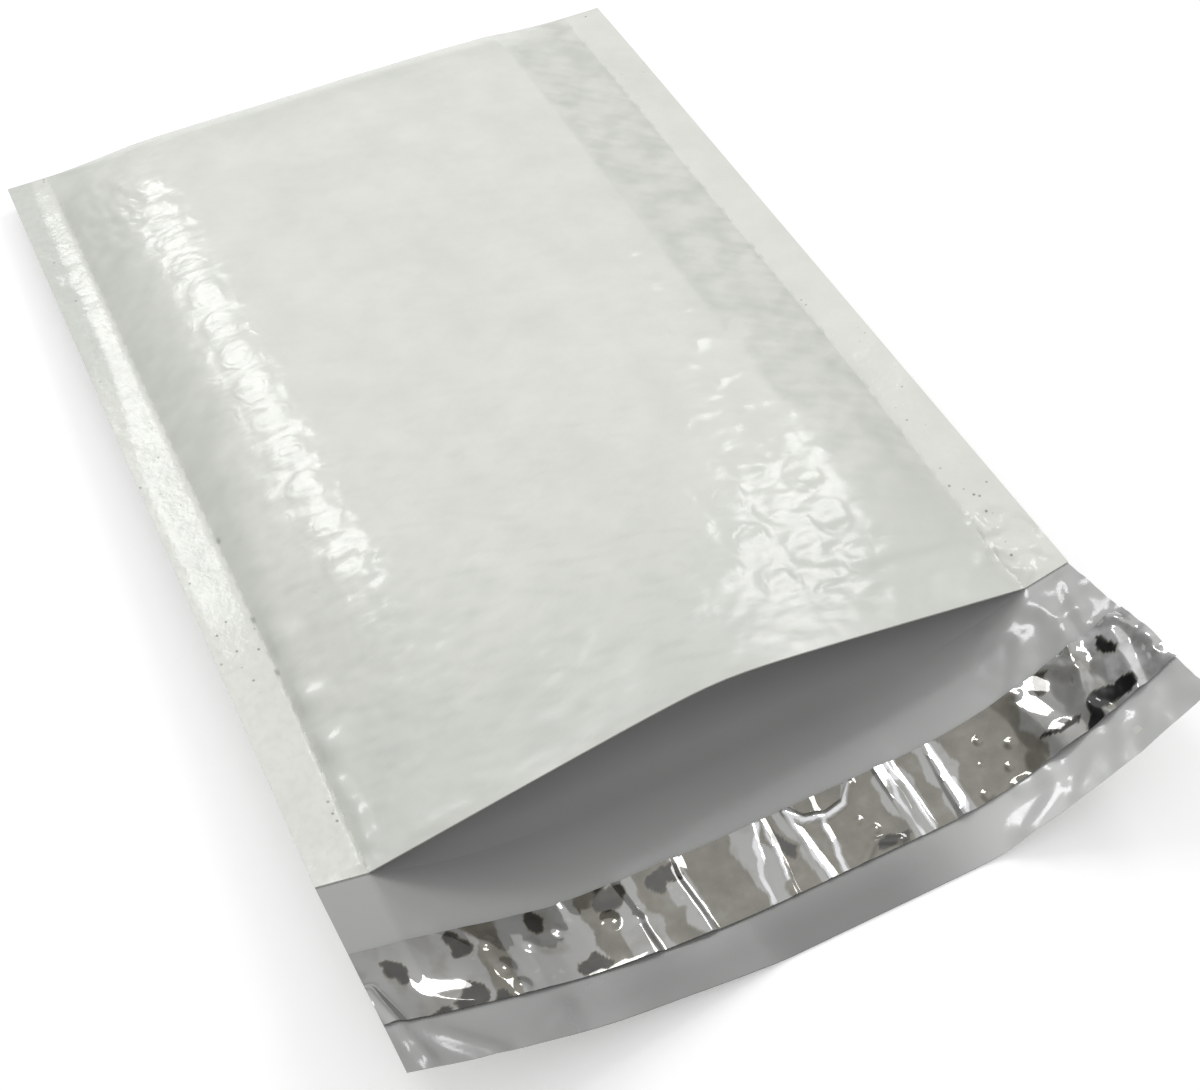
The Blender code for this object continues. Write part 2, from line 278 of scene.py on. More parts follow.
# A bubble felt through taut film: part a flat disc with a raised rim, part a short ripple that
# leans across the film; each bubble has its own height and tip
def bubbleMark(across, along, ringShare):
    stray = frontPanel["stray"]
    across = across + stray * unevenness(across, along, 6, 41)
    along = along + frontPanel["creep"] + stray * unevenness(across, along, 6, 42)
    du, dv, chance = nearestBubble(across, along)
    off = np.hypot(du, dv)
    disc = falling(off, 3.2, 5.2) + 0.25 * hump(off, 3.5, 0.8) - 0.25 * hump(off, 0, 2.0)
    tip = falling(off, 3.4, 5.4) / np.where(across < 0, *frontPanel["tip"])
    disc = disc * (1 + 0.3 * chance[2]) + (chance[0] * du + chance[1] * dv) * tip
    lean, length = dv + (0.12 * chance[2] - 0.04) * du, du - 0.04 * dv
    wave = hump(lean, chance[0], 1.9) * (1 + 0.7 * chance[1])
    wave = wave + 0.5 * hump(lean, 4.0 + chance[2], 1.2) * share(0.4 + chance[0])
    wave = wave * falling(np.abs(length), 2.4, 4.8)
    return ringShare * disc + (1 - ringShare) * wave


# How strongly the bubbles show on the front: most on the left shoulder and low on the right
def markStrength(across, along):
    left = frontPanel["leftMark"] * hump(across, -51, 12) * rising(along, 30, 70)
    right = frontPanel["rightMark"] * hump(across, 31, 20) * falling(along, 40, 90)
    chain = hump(across, mix(36, 40, rising(along, 45, 75)), 6.5)
    chain = frontPanel["chainMark"] * chain * rising(along, 38, 63) * falling(along, 105, 125)
    edge = ease((bubbleEdge - np.abs(across)) / (6 * mm))
    edge = edge * rising(along, 8, 16) * falling(along, 204, 212)
    uneven = share(1 + 0.9 * unevenness(across, along, 15, 43, 2))
    strongest = np.maximum(np.maximum(left, right), chain)
    return mix(frontPanel["leastMark"], 1, strongest) * edge * uneven


# How sharply the bubbles' outlines print through: on the right only near the mouth
def ringStrength(across, along):
    return markStrength(across, along) * np.where(across < 0, 1.0, 0.4 * falling(along, 40, 60))


def slackness(across, along):
    left = frontPanel["leftSlack"] * hump(across, -52, 10) * rising(along, 30, 60)
    right = frontPanel["rightSlack"] * hump(across, 36, 20) * falling(along, 100, 150)
    patchy = share(0.75 + 0.8 * unevenness(across, along, 11, 47))
    total = frontPanel["leastSlack"] + np.maximum(left, right) * patchy
    return total * insideWelds(across, 4) * rising(along, 0, 4)


# The lining behind the film, used to place the white film's painted shade. Pairs are for the upper end and
# for near the mouth, in mm
backedAndShaded = {
    "leftEdge": (-67.5, -71.3), "leftFade": (13.0, 4.5), "scallop": 1.5 * mm,
    # least backing, so the deepest painted shade, on the left flank, on the right flank and at the mouth
    "leftLeast": 0.25, "rightLeast": 0.68, "mouthLeast": 0.3,
    # how much streaks and clouds change the painted shade of the right flank, and how much painted shade
    # they add low on the left
    "flankStreak": 0.36, "flankCloud": 0.55, "lowStreak": 0.45, "lowCloud": 0.2,
    # tone of the right weld, the painted shade on the left one's outer part at its upper end, and flecks
    "rightWeld": 1.15, "leftWeldOuterShade": 0.75, "leftFleck": 0.32, "rightFleck": 0.2,
}


# How closely the lining backs the film, from 0 to 1, which the material uses as a tone. Low values are
# painted shade down the flanks and near the mouth, where the film slopes away from the light, and
# partly the film's darker look over empty space. The welds have tones of their own, with painted
# shade on the left weld's outer part
def backingAndShade(across, along):
    scallop = backedAndShaded["scallop"] * unevenness(across, along, 8, 44)
    streak = unevenness((across - 0.35 * along) / 4, along + 0.35 * across, 2.4, 48, 2)
    cloud = unevenness(across * 0.8, along - 0.4 * across, 6.5, 49, 3)
    low = falling(along, 50, 125)
    inward = across - mix(*backedAndShaded["leftEdge"], low) * mm + scallop * (1 - 0.6 * low)
    left = ease(inward / (mix(*backedAndShaded["leftFade"], low) * mm)) + 0.34 * cloud * falling(across, -54, -40)
    flank = rising(across + scallop + 2.4 * mm * streak, 46, 51) * rising(along, 16, 46)
    mouth = rising(along + 3 * scallop, -3, 61)
    over = mix(backedAndShaded["leftLeast"], 1, left) + 0.12 * streak
    overRight = mix(1, backedAndShaded["rightLeast"], flank)
    overRight = overRight + flank * (backedAndShaded["flankStreak"] * streak + backedAndShaded["flankCloud"] * cloud)
    over = np.minimum(over, overRight) * mix(backedAndShaded["mouthLeast"], 1, mouth)
    # painted shade in streaks and clouds, low on the left
    paintedShadeStreaks = backedAndShaded["lowStreak"] * share(streak) + backedAndShaded["lowCloud"] * share(cloud)
    over = over - paintedShadeStreaks * falling(across, 0, 30) * low
    outer = rising(np.abs(across) - weld, 3.5, 5.0) * rising(along, 125, 155)
    fleck = np.where(across < 0, backedAndShaded["leftFleck"], backedAndShaded["rightFleck"])
    fleck = fleck * share(0.2 + 1.2 * unevenness(across, along, 1.8, 55, 3))
    seam = np.where(across < 0, 1 - backedAndShaded["leftWeldOuterShade"] * outer, backedAndShaded["rightWeld"]) - fleck
    return np.where(np.abs(across) > weld, seam, over)


# The grey film's tone, as painted light and shade: paler inside the pouch, which lifts the shade
# there, and at the lip's ends, most at the right one; painted darker on the free margin between the
# ends, which dims its reflection
def lipLightAndShade(across, along):
    margin = falling(along, -40, -26)
    right = rising(across, 15, 55)
    side = right + 0.8 * falling(across, -70, -35)
    onLip = 0.45 * (1 - margin * (1 - side)) + right * (0.2 + 0.5 * margin)
    return mix(onLip, 0.8, rising(along, -2, 6))


# 1 where front and back film are welded together, 0 elsewhere
def welded(across, along):
    return rising(np.abs(across) - weld, -0.6, 0.6) * rising(along, 0, 2)


# More than 0 only at the few dark dots along the left weld's foot, which are longer than wide
def footDotted(across, along):
    total = 0.0 * across
    for x, y in frontPanel["footDots"]:
        off = np.hypot(across - x * mm, (along - y * mm) / 1.6) / (frontPanel["footDotSize"] * mm)
        total = np.maximum(total, frontPanel["footDotTone"] * ease(1.6 - off))
    return total


# The roll that the weld leaves along a seam: a slope up from the edge, then a step down into a
# valley. Slope and start are given for the upper end and for below the middle, start in mm
roll = {
    "crest": pouch["seam"] - 0.4 * mm, "foot": pouch["seam"] + 0.4 * mm,
    "valley": 0.12 * mm, "valleyHalf": 1.6 * mm,
    "sides": ((-1, (0.14, 0.075), (5.0, 1.5)), (1, (0.035, 0.035), (1.0, 1.0))),
}


def seamRoll(across, along):
    total = 0.0
    low = falling(along, 100, 150)
    for side, slope, start in roll["sides"]:
        inward = half - side * across
        begin = mix(*start, low) * mm
        rise = mix(*slope, low) * np.clip(inward - begin, 0, roll["crest"] - begin)
        fall = share((inward - roll["crest"]) / (roll["foot"] - roll["crest"])) ** 2
        valley = share(1 - np.abs(inward - roll["foot"]) / roll["valleyHalf"])
        total = total + rise * (1 - fall) - roll["valley"] * valley
    return total


# Broad sag and fine crumple all over, with more crumple low on the left, where the film is slack
def sagging(across, along):
    soft = frontPanel["sag"] * unevenness(across, along, 34, 11, 2)
    fine = frontPanel["crumple"] * unevenness(across * 0.7, along, 6, 12, 3)
    loose = falling(across, -35, 0) * falling(along, 75, 125) * rising(along, 0, 28)
    return soft * insideWelds(across, 12) + fine * (1 + 1.6 * loose * insideWelds(across, 6))


# Slack ripples across the film, leaning a little, strongest over the two long shoulders
def ripples(across, along):
    slant = unevenness((across - 0.05 * along) / 2.4, along + 0.05 * across, 3.3, 45, 2)
    ends = 0.6 + 0.6 * rising(np.abs(along - 118 * mm), 0, 60)
    left = 0.9 * hump(across, -50, 11) * rising(along, 22, 52) * ends
    crest = hump(across, 35, 16) * falling(along, 115, 165) * (0.8 + 0.55 * falling(along, 50, 100))
    flank = 0.35 * rising(across, 40, 50) * insideWelds(across, 8)
    mouth = 0.7 * hump(across, 20, 24) * falling(along, 23, 48)
    strongest = np.maximum(np.maximum(left, crest), np.maximum(flank, mouth))
    rippled = np.maximum(strongest, 0.3) * (1 + 0.6 * unevenness(across, along, 17, 46))
    return frontPanel["ripple"] * slant * rippled * insideWelds(across, 5) * rising(along, 0, 8)


# Oblique hatching on the steep part of the left shoulder, and wrinkles that fan out from the
# bottom corner beyond it
def hatching(across, along):
    hatch = unevenness(across / 3.2, along - 0.35 * across, 3.6, 13, 2)
    hatch = hatch * hump(across, -63, 8) * rising(along, 30, 60)
    hatch = hatch * (0.6 + 0.6 * unevenness(across, along, 14, 14))
    fan = unevenness((0.45 * across - 0.89 * along) / 2.4, 0.89 * across + 0.45 * along, 2.6, 61, 2)
    fan = fan * hump(across, -60, 9) * hump(along, 192, 13)
    return frontPanel["hatch"] * hatch + frontPanel["fan"] * fan


# Puckers where the welds end at the mouth, pillows beside the left weld, and single folds
def puckers(across, along):
    pulled = hump(across, 75.5, 6.5) * hump(along, 11, 9)
    pulled = pulled + 0.3 * hump(across, -70, 3.5) * hump(along, 11, 8)
    drawn = 0.3 * facets(across, along, 4.5, 16) - creased(across, along, 6.5, 15, 2)
    total = frontPanel["pucker"] * pulled * drawn + folded(across, along, frontPanel["folds"])
    wide, long = frontPanel["pillowHalf"]
    for x, y, height in frontPanel["pillows"]:
        bulge = hump(across, x, wide) * hump(along, y, long) * insideWelds(across, 2)
        total = total + height * mm * bulge
    return total


# What the lining does to the film: its lower edge is a step at its right-hand corner, and its
# bubbles hold up a long brow beside the side crease
def liningFelt(across, along):
    padEnd = rising(along, 13.5, 16) * hump(across, 56, 14) * hump(along, 16, 16)
    browEnd = mix(22, 27.5, rising(along, 50, 90))
    brow = rising(across, -8, 26) * falling(across, browEnd, browEnd + 20)
    brow = brow * rising(along, 28, 53) * falling(along, 100, 150)
    return frontPanel["padEnd"] * padEnd + frontPanel["brow"] * brow


def wrinkles(across, along):
    total = sagging(across, along) + ripples(across, along) + hatching(across, along)
    # a dent low on the left seam's upper half
    dent = facets(across, along, 5, 17) * hump(across, -79, 4) * hump(along, 178, 6)
    total = total + frontPanel["dent"] * dent
    return total + puckers(across, along) + liningFelt(across, along)


def frontOuter(across, along):
    ringShare = np.where(across < 0, 0.5, 0.2 * falling(along, 38, 62))
    mark = frontPanel["showThrough"] * bubbleMark(across, along, ringShare) * markStrength(across, along)
    relief = mark + wrinkles(across, along) + seamRoll(across, along)
    edge = np.minimum(ease((half - np.abs(across)) / (1.5 * mm)), rising(along, 0, 2))
    thickness = np.maximum(pouch["film"] + relief * edge, 0.05 * mm)
    rise = (frontSwell(across, along) + thickness) * foldRound(along, pouch["body"], pouch["foldReach"])
    return place(across, along, seamLevel(across, along) + rise)


def frontInner(across, along):
    rise = frontSwell(across, along) * foldRound(along, pouch["body"] - pouch["film"], pouch["foldReach"])
    return place(across, along, seamLevel(across, along) + rise)


lip = {
    "wave": 0.4 * mm, "crinkle": 1.1 * mm,
    "hem": 0.12, "hemFrom": 33.5 * mm,     # the free edge curls up: slope, and where it starts
    # creases: places along each, width and height in mm
    "creases": (
        (((79.7, -2), (77.6, -9), (75.8, -15), (79.4, -18), (80.6, -26), (81.2, -34)), 1.9, 0.5),
        (((71, -4), (74, -12), (68, -19)), 2.6, 0.55),
        (((56, -31), (55, -39), (47, -43.5)), 3.4, 0.75), (((74, -38), (64, -37.5), (57, -43)), 2.8, 0.6),
        (((66, -9), (59, -18)), 2.4, 0.45),
        (((-76, -36), (-66, -43.5)), 3.2, 0.6), (((-82, -26), (-78, -42)), 2.0, 0.7),
        (((-60, -43.5), (-52, -38)), 3.5, 0.2),
        (((66, -43), (70, -36)), 2.6, 0.5), (((62, -3), (68, -9), (64, -15)), 2.6, 0.3),
        (((50, -34.5), (58, -36), (66, -35)), 2.6, 0.55), (((79, -17), (82, -24), (80, -31)), 2.0, 0.6),
        (((47, -43.5), (61, -43.5)), 7.0, 1.2),
    ),
}


def lipHeight(across, along):
    curl = np.where(across < 0, pouch["curlLeft"], pouch["curlRight"])
    out = share(-along / pouch["lip"])
    edge = pouch["seamAtMouth"] - pouch["film"] + curl * out
    mouth = seamLevel(across, 0 * along) - pouch["film"] - backSwell(across, 0 * along)
    mouth = mouth + curl * out * lipRise(across)
    return mix(mouth, edge * lipRise(across), ease(out))


# Slack waves of the lip, and crinkles at its ends, never below its flat middle
def lipSlack(across, along):
    raised = ease(lipRise(across) / 0.12) * (1 - 0.85 * hump(across, -36, 13))
    wave = lip["wave"] * unevenness(across, along, 22, 21, 2) * raised * falling(along, -14, 0)
    corner = hump(across, 78, 13) * falling(along, -8, 0) + 0.6 * hump(across, -80, 6) * hump(along, -40, 7)
    crinkle = lip["crinkle"] * creased(across, along, 9, 22, 2) * corner
    crinkle = crinkle + folded(across, along, lip["creases"])
    hem = lip["hem"] * np.maximum(-along - lip["hemFrom"], 0) * hump(across, -27, 14)
    flat = share(0.1 + lipRise(across) / 0.02) * falling(along, -2, 0)
    return np.maximum(wave + crinkle + hem, 0) * flat


# Height of the lip's underside
def lipLevel(across, along):
    return lipHeight(across, along) + lipSlack(across, along)


def backOuter(across, along):
    fall = backSwell(across, along) + pouch["film"]
    fall = fall * foldRound(along, pouch["body"], pouch["backFoldReach"])
    low = np.where(along < 0, lipLevel(across, along), seamLevel(across, along) - fall)
    return place(across, along, low)


def backInner(across, along):
    lipTop = lipLevel(across, along) + pouch["film"]
    fall = backSwell(across, along)
    fall = fall * foldRound(along, pouch["body"] - pouch["film"], pouch["backFoldReach"])
    top = np.where(along < 0, lipTop, seamLevel(across, along) - fall)
    return place(across, along, top)


def steps(start, end, longest):
    count = max(1, math.ceil(abs(end - start) / longest - 1e-6))
    return list(np.linspace(start, end, count + 1))


# Stations into the bottom fold, closer together where the film turns over
def foldRows(start, end, reach, count):
    angles = np.radians(np.linspace(0, 90, count + 1))
    rows = [end - reach + reach * math.sin(angle) for angle in angles]
    return [row for row in rows if row > start + 0.3 * mm][:-1] + [end]


def newShell():
    return {"points": [], "faces": [], "finish": [], "count": 0}


# A grid of faces, seen from above if up, all with one of the piece's materials
def addSheet(shell, columns, rows, shape, up, finish=0):
    across, along = np.meshgrid(columns, rows)
    points = np.stack(np.broadcast_arrays(*shape(across, along)), -1).reshape(-1, 3)
    grid = shell["count"] + np.arange(across.size).reshape(across.shape)
    ring = [grid[:-1, :-1], grid[:-1, 1:], grid[1:, 1:], grid[1:, :-1]]
    faces = np.stack(ring if up else ring[::-1], -1).reshape(-1, 4)
    shell["points"].append(points)
    shell["faces"] += faces.tolist()
    shell["finish"] += [finish] * len(faces)
    shell["count"] += len(points)
    return grid


def addLine(shell, across, along, height):
    points = np.stack(np.broadcast_arrays(*place(across, along, height)), -1)
    line = shell["count"] + np.arange(len(points))
    shell["points"].append(points)
    shell["count"] += len(points)
    return line


# Fills the narrow band between two edges that may have different numbers of points
def addBand(shell, first, second, finish=0):
    points = np.concatenate(shell["points"])
    first, second = list(map(int, first)), list(map(int, second))
    i = j = 0
    while i < len(first) - 1 or j < len(second) - 1:
        useFirst = i < len(first) - 1 and (
            j == len(second) - 1
            or np.linalg.norm(points[first[i + 1]] - points[second[j]])
            <= np.linalg.norm(points[second[j + 1]] - points[first[i]])
        )
        third = first[i + 1] if useFirst else second[j + 1]
        shell["faces"].append([first[i], third, second[j]])
        shell["finish"].append(finish)
        i, j = (i + 1, j) if useFirst else (i, j + 1)


# Gives each point of the film its own number, for its material to read. Without a measure it
# is the point's place on the flat film, a vector
def markFilm(data, name, measure=None):
    points = np.empty(len(data.vertices) * 3)
    data.vertices.foreach_get("co", points)
    x, y = points.reshape(-1, 3)[:, 0], points.reshape(-1, 3)[:, 1]
    along = y + yShift
    across = x / (1 - drawnIn(along) / half)
    if measure is None:
        layer = data.attributes.new(name, "FLOAT_VECTOR", "POINT")
        layer.data.foreach_set("vector", np.stack([across, along, 0 * along], -1).ravel())
    else:
        layer = data.attributes.new(name, "FLOAT", "POINT")
        layer.data.foreach_set("value", np.asarray(measure(across, along), dtype=np.float32))


def addObject(name, data):
    thing = bpy.data.objects.new(name, data)
    bpy.context.scene.collection.objects.link(thing)
    return thing


# Turns an object's own x, y and z to the three directions given and puts it at the spot
def turn(thing, right, up, back, spot):
    rows = [(right[i], up[i], back[i], spot[i]) for i in range(3)]
    thing.matrix_world = Matrix((*rows, (0, 0, 0, 1)))


# The finished piece: edges drawn twice are merged and the faces turned outwards
def makePiece(name, shell, materials):
    data = bpy.data.meshes.new(name)
    data.from_pydata(np.concatenate(shell["points"]).tolist(), [], shell["faces"])
    data.polygons.foreach_set("material_index", shell["finish"])
    work = bmesh.new()
    work.from_mesh(data)
    bmesh.ops.remove_doubles(work, verts=work.verts, dist=0.001 * mm)
    bmesh.ops.dissolve_degenerate(work, dist=0.0005 * mm, edges=work.edges)
    bmesh.ops.triangulate(work, faces=[face for face in work.faces if len(face.verts) > 4])
    bmesh.ops.recalc_face_normals(work, faces=work.faces)
    openEdges = sum(len(edge.link_faces) != 2 for edge in work.edges)
    work.to_mesh(data)
    work.free()
    data.shade_smooth()
    data.set_sharp_from_angle(angle=math.radians(36))
    for material in materials:
        data.materials.append(material)
    triangles = sum(len(face.vertices) - 2 for face in data.polygons)
    print(name, "made,", triangles, "triangles,", openEdges, "open edges")
    return addObject(name, data)


def linear(code):
    channels = [int(code[i : i + 2], 16) / 255 for i in (1, 3, 5)]
    channels = [c / 12.92 if c <= 0.04045 else ((c + 0.055) / 1.055) ** 2.4 for c in channels]
    return (*channels, 1.0)


# Adds a node and gives its result. A setting is a property or a socket's value, and a link is
# another node's result
def addNode(tree, kind, settings, links=None, result=0):
    node = tree.nodes.new("ShaderNode" + kind)
    for name, value in settings.items():
        if isinstance(name, str) and hasattr(node, name):
            setattr(node, name, value)
        else:
            node.inputs[name].default_value = value
    for name, source in (links or {}).items():
        tree.links.new(source, node.inputs[name])
    return node.outputs[result]


# The colours of a ramp, whose first stop is at 0 and last at 1
def fillStops(ramp, stops):
    for position, colour in stops[1:-1]:
        ramp.elements.new(position).color = colour
    ramp.elements[0].color, ramp.elements[-1].color = stops[0][1], stops[-1][1]


# An empty material with its shader, and the piece's own coordinates in metres
def newMaterial(name, settings):
    material = bpy.data.materials.new(name)
    material.use_nodes = True
    tree = material.node_tree
    shader = tree.nodes["Principled BSDF"]
    for socket, value in settings.items():
        shader.inputs[socket].default_value = value
    return material, tree, shader, addNode(tree, "TexCoord", {}, {}, "Object")


def linkShader(tree, shader, links):
    for socket, source in links.items():
        tree.links.new(source, shader.inputs[socket])


# Most values of a noise lie between these
noiseSpan = {"From Min": 0.3, "From Max": 0.7}


# Co-extruded polyethylene, blown film: white pigment in the outer layer, satin and faintly
# mottled; the welds are embossed by the sealing bar and carry small dark dots. The darker colour
# for the film away from the lining is painted shade, partly its darker look over empty space
whiteFilm = {
    "colours": ("#E8EAE2", "#D0D2CC"), "shadedOverSpace": "#CBCDC7", "roughness": (0.18, 0.25),
    "mottle": 14 * mm, "grain": 2.4 * mm, "grainDepth": 0.012 * mm, "ior": 1.51,
    # a bubble's outline pressed into the film: height against distance, both as shares. Stray is
    # both the size of the noise that moves the outlines and how far it moves them
    "ring": ((0.0, 0.6), (0.38, 0.75), (0.56, 0.35), (0.76, 0.8), (1.0, 0.25)),
    "ringReach": 5.2 * mm, "ringDepth": 0.09 * mm, "ringStray": 5.0 * mm,
    # the outlines fade out in places: size of these, and how a noise gives the strength
    "ringFade": 5.5 * mm,
    "ringFading": {"From Min": 0.36, "From Max": 0.62, "To Min": 0.1, "To Max": 1.1},
    "ripple": 1.9 * mm, "rippleLength": 2.3, "rippleLean": -0.05, "rippleDepth": 0.14 * mm,
    "emboss": 1.2 * mm, "embossDepth": 0.07 * mm,
    # dots of the welds, in patches, so some stretches of a weld have none; the radius is a
    # share of the spacing
    "dot": "#989A95", "dotSpacing": 3.0 * mm, "dotRadius": 0.13,
    "dotPatch": 50 / 3 * mm, "dotPatching": {"From Min": 0.45, "From Max": 0.6},
}


# Height of the bubbles' outlines: distance to the nearer of two interleaved lattices
def addRings(tree, filmPlace):
    reach = whiteFilm["ringStray"]
    stray = addNode(tree, "TexNoise", {"Scale": 1 / reach, "Detail": 2.0}, {"Vector": filmPlace}, "Color")
    stray = addNode(tree, "VectorMath", {"operation": "SUBTRACT", 1: (0.5, 0.5, 0.5)}, {0: stray})
    strayed = addNode(
        tree, "VectorMath", {"operation": "MULTIPLY_ADD", 1: (reach, reach, 0)}, {0: stray, 2: filmPlace}
    )
    lengths = []
    column, row = bubbles["column"], bubbles["pitch"] / 2
    cell = {"operation": "WRAP", 1: (column, row, 1.0), 2: (-column, -row, -1.0)}
    for odd in (0, 1):
        first = bubbles["start"] + row * (1 + odd) - frontPanel["creep"]
        centre = ((0.5 + odd) * column, first, 0.0)
        off = addNode(tree, "VectorMath", {"operation": "SUBTRACT", 1: centre}, {0: strayed})
        off = addNode(tree, "VectorMath", cell, {0: off})
        off = addNode(tree, "VectorMath", {"operation": "MULTIPLY", 1: (1, 1, 0)}, {0: off})
        lengths.append(addNode(tree, "VectorMath", {"operation": "LENGTH"}, {0: off}, "Value"))
    distance = addNode(tree, "Math", {"operation": "MINIMUM"}, {0: lengths[0], 1: lengths[1]})
    part = addNode(tree, "Math", {"operation": "DIVIDE", 1: whiteFilm["ringReach"]}, {0: distance})
    outline = addNode(tree, "ValToRGB", {}, {"Fac": part}, "Color")
    ramp = outline.node.color_ramp
    ramp.interpolation = "EASE"
    fillStops(ramp, [(position, (height, height, height, 1)) for position, height in whiteFilm["ring"]])
    return outline


def makeWhiteFilm():
    material, tree, shader, where = newMaterial("white_polyethylene_film", {"IOR": whiteFilm["ior"]})
    mottle = addNode(
        tree, "TexNoise", {"Scale": 1 / whiteFilm["mottle"], "Detail": 5.0, "Roughness": 0.62},
        {"Vector": where},
    )
    low, high = (linear(code) for code in whiteFilm["colours"])
    overLining = addNode(tree, "Mix", {"data_type": "RGBA", 6: low, 7: high}, {0: mottle}, 2)
    # painted shade: where this tone is low, the film turns to the darker colour down the flanks and near
    # the mouth
    backedAndShaded = addNode(tree, "Attribute", {"attribute_name": "backingAndShade"}, {}, "Fac")
    film = addNode(
        tree, "Mix", {"data_type": "RGBA", 6: linear(whiteFilm["shadedOverSpace"])}, {0: backedAndShaded, 7: overLining}, 2
    )
    # dots in the welds, but not in all their patches, and the dark dots at the left weld's foot
    weldMark = addNode(tree, "Attribute", {"attribute_name": "welded"}, {}, "Fac")
    off = addNode(tree, "TexVoronoi", {"Scale": 1 / whiteFilm["dotSpacing"]}, {"Vector": where}, "Distance")
    radius = whiteFilm["dotRadius"]
    dots = addNode(tree, "MapRange", {"From Min": radius, "From Max": 0.5 * radius}, {"Value": off})
    patches = addNode(
        tree, "TexNoise", {"Scale": 1 / whiteFilm["dotPatch"], "Detail": 1.0}, {"Vector": where}
    )
    patches = addNode(tree, "MapRange", whiteFilm["dotPatching"], {"Value": patches})
    patches = addNode(tree, "Math", {"operation": "MULTIPLY"}, {0: weldMark, 1: patches})
    dots = addNode(tree, "Math", {"operation": "MULTIPLY"}, {0: dots, 1: patches})
    footMarks = addNode(tree, "Attribute", {"attribute_name": "footDotted"}, {}, "Fac")
    dots = addNode(tree, "Math", {"operation": "MAXIMUM"}, {0: dots, 1: footMarks})
    colour = addNode(
        tree, "Mix", {"data_type": "RGBA", 7: linear(whiteFilm["dot"])}, {0: dots, 6: film}, 2
    )

    grain = addNode(tree, "TexNoise", {"Scale": 1 / whiteFilm["grain"], "Detail": 2.0}, {"Vector": where})
    least, most = whiteFilm["roughness"]
    roughness = addNode(tree, "MapRange", {**noiseSpan, "To Min": least, "To Max": most}, {"Value": grain})
    bump = addNode(tree, "Bump", {"Strength": 1.0, "Distance": whiteFilm["grainDepth"]}, {"Height": grain})
    filmPlace = addNode(tree, "Attribute", {"attribute_name": "filmPlace"}, {}, "Vector")
    marked = addNode(tree, "Attribute", {"attribute_name": "rings"}, {}, "Fac")
    fading = addNode(
        tree, "TexNoise", {"Scale": 1 / whiteFilm["ringFade"], "Detail": 1.0}, {"Vector": filmPlace}
    )
    faded = addNode(tree, "MapRange", whiteFilm["ringFading"], {"Value": fading})
    ringing = addNode(tree, "Math", {"operation": "MULTIPLY", "use_clamp": True}, {0: marked, 1: faded})
    rings = addRings(tree, filmPlace)
    bump = addNode(
        tree, "Bump", {"Distance": whiteFilm["ringDepth"]},
        {"Strength": ringing, "Height": rings, "Normal": bump},
    )
    lean, length = (0, 0, whiteFilm["rippleLean"]), (whiteFilm["rippleLength"], 1, 1)
    leaning = addNode(
        tree, "Mapping", {"vector_type": "TEXTURE", "Rotation": lean, "Scale": length},
        {"Vector": filmPlace},
    )
    ripple = addNode(
        tree, "TexNoise", {"Scale": 1 / whiteFilm["ripple"], "Detail": 1.0}, {"Vector": leaning}
    )
    slack = addNode(tree, "Attribute", {"attribute_name": "slack"}, {}, "Fac")
    bump = addNode(
        tree, "Bump", {"Distance": whiteFilm["rippleDepth"]},
        {"Strength": slack, "Height": ripple, "Normal": bump},
    )
    emboss = addNode(tree, "TexNoise", {"Scale": 1 / whiteFilm["emboss"], "Detail": 2.0}, {"Vector": where})
    bump = addNode(
        tree, "Bump", {"Distance": whiteFilm["embossDepth"]},
        {"Strength": weldMark, "Height": emboss, "Normal": bump},
    )
    linkShader(tree, shader, {"Base Color": colour, "Roughness": roughness, "Normal": bump})
    return material


# The same film's inner layer: grey pigment, smoother and glossier than the outside, but duller
# on the slack free margin. Its darker colour on that margin is painted shade, and the paler colour
# inside the pouch and at the lip's ends is painted light
greyFilm = {
    "colours": ("#CDCECC", "#C4C6C4"), "free": "#7B7C7A", "mottle": 18 * mm,
    "roughness": (0.14, 0.2), "freeRoughness": 0.38, "tautFrom": 0.35,
    "grain": 3.0 * mm, "grainDepth": 0.03 * mm, "ior": 1.51, "specular": 0.8,
}


def makeGreyFilm():
    material, tree, shader, where = newMaterial(
        "grey_polyethylene_film", {"IOR": greyFilm["ior"], "Specular IOR Level": greyFilm["specular"]}
    )
    mottle = addNode(tree, "TexNoise", {"Scale": 1 / greyFilm["mottle"], "Detail": 2.0}, {"Vector": where})
    low, high = (linear(code) for code in greyFilm["colours"])
    held = addNode(tree, "Mix", {"data_type": "RGBA", 6: low, 7: high}, {0: mottle}, 2)
    # painted light and shade of the lip, as a tone from the darker colour to the paler one
    tone = addNode(tree, "Attribute", {"attribute_name": "lipLightAndShade"}, {}, "Fac")
    colour = addNode(
        tree, "Mix", {"data_type": "RGBA", 6: linear(greyFilm["free"])}, {0: tone, 7: held}, 2
    )
    grain = addNode(tree, "TexNoise", {"Scale": 1 / greyFilm["grain"], "Detail": 3.0}, {"Vector": where})
    least, most = greyFilm["roughness"]
    roughness = addNode(tree, "MapRange", {**noiseSpan, "To Min": least, "To Max": most}, {"Value": grain})
    taut = addNode(tree, "MapRange", {"From Max": greyFilm["tautFrom"]}, {"Value": tone})
    roughness = addNode(tree, "Mix", {2: greyFilm["freeRoughness"]}, {0: taut, 3: roughness})
    bump = addNode(tree, "Bump", {"Strength": 1.0, "Distance": greyFilm["grainDepth"]}, {"Height": grain})
    linkShader(tree, shader, {"Base Color": colour, "Roughness": roughness, "Normal": bump})
    return material


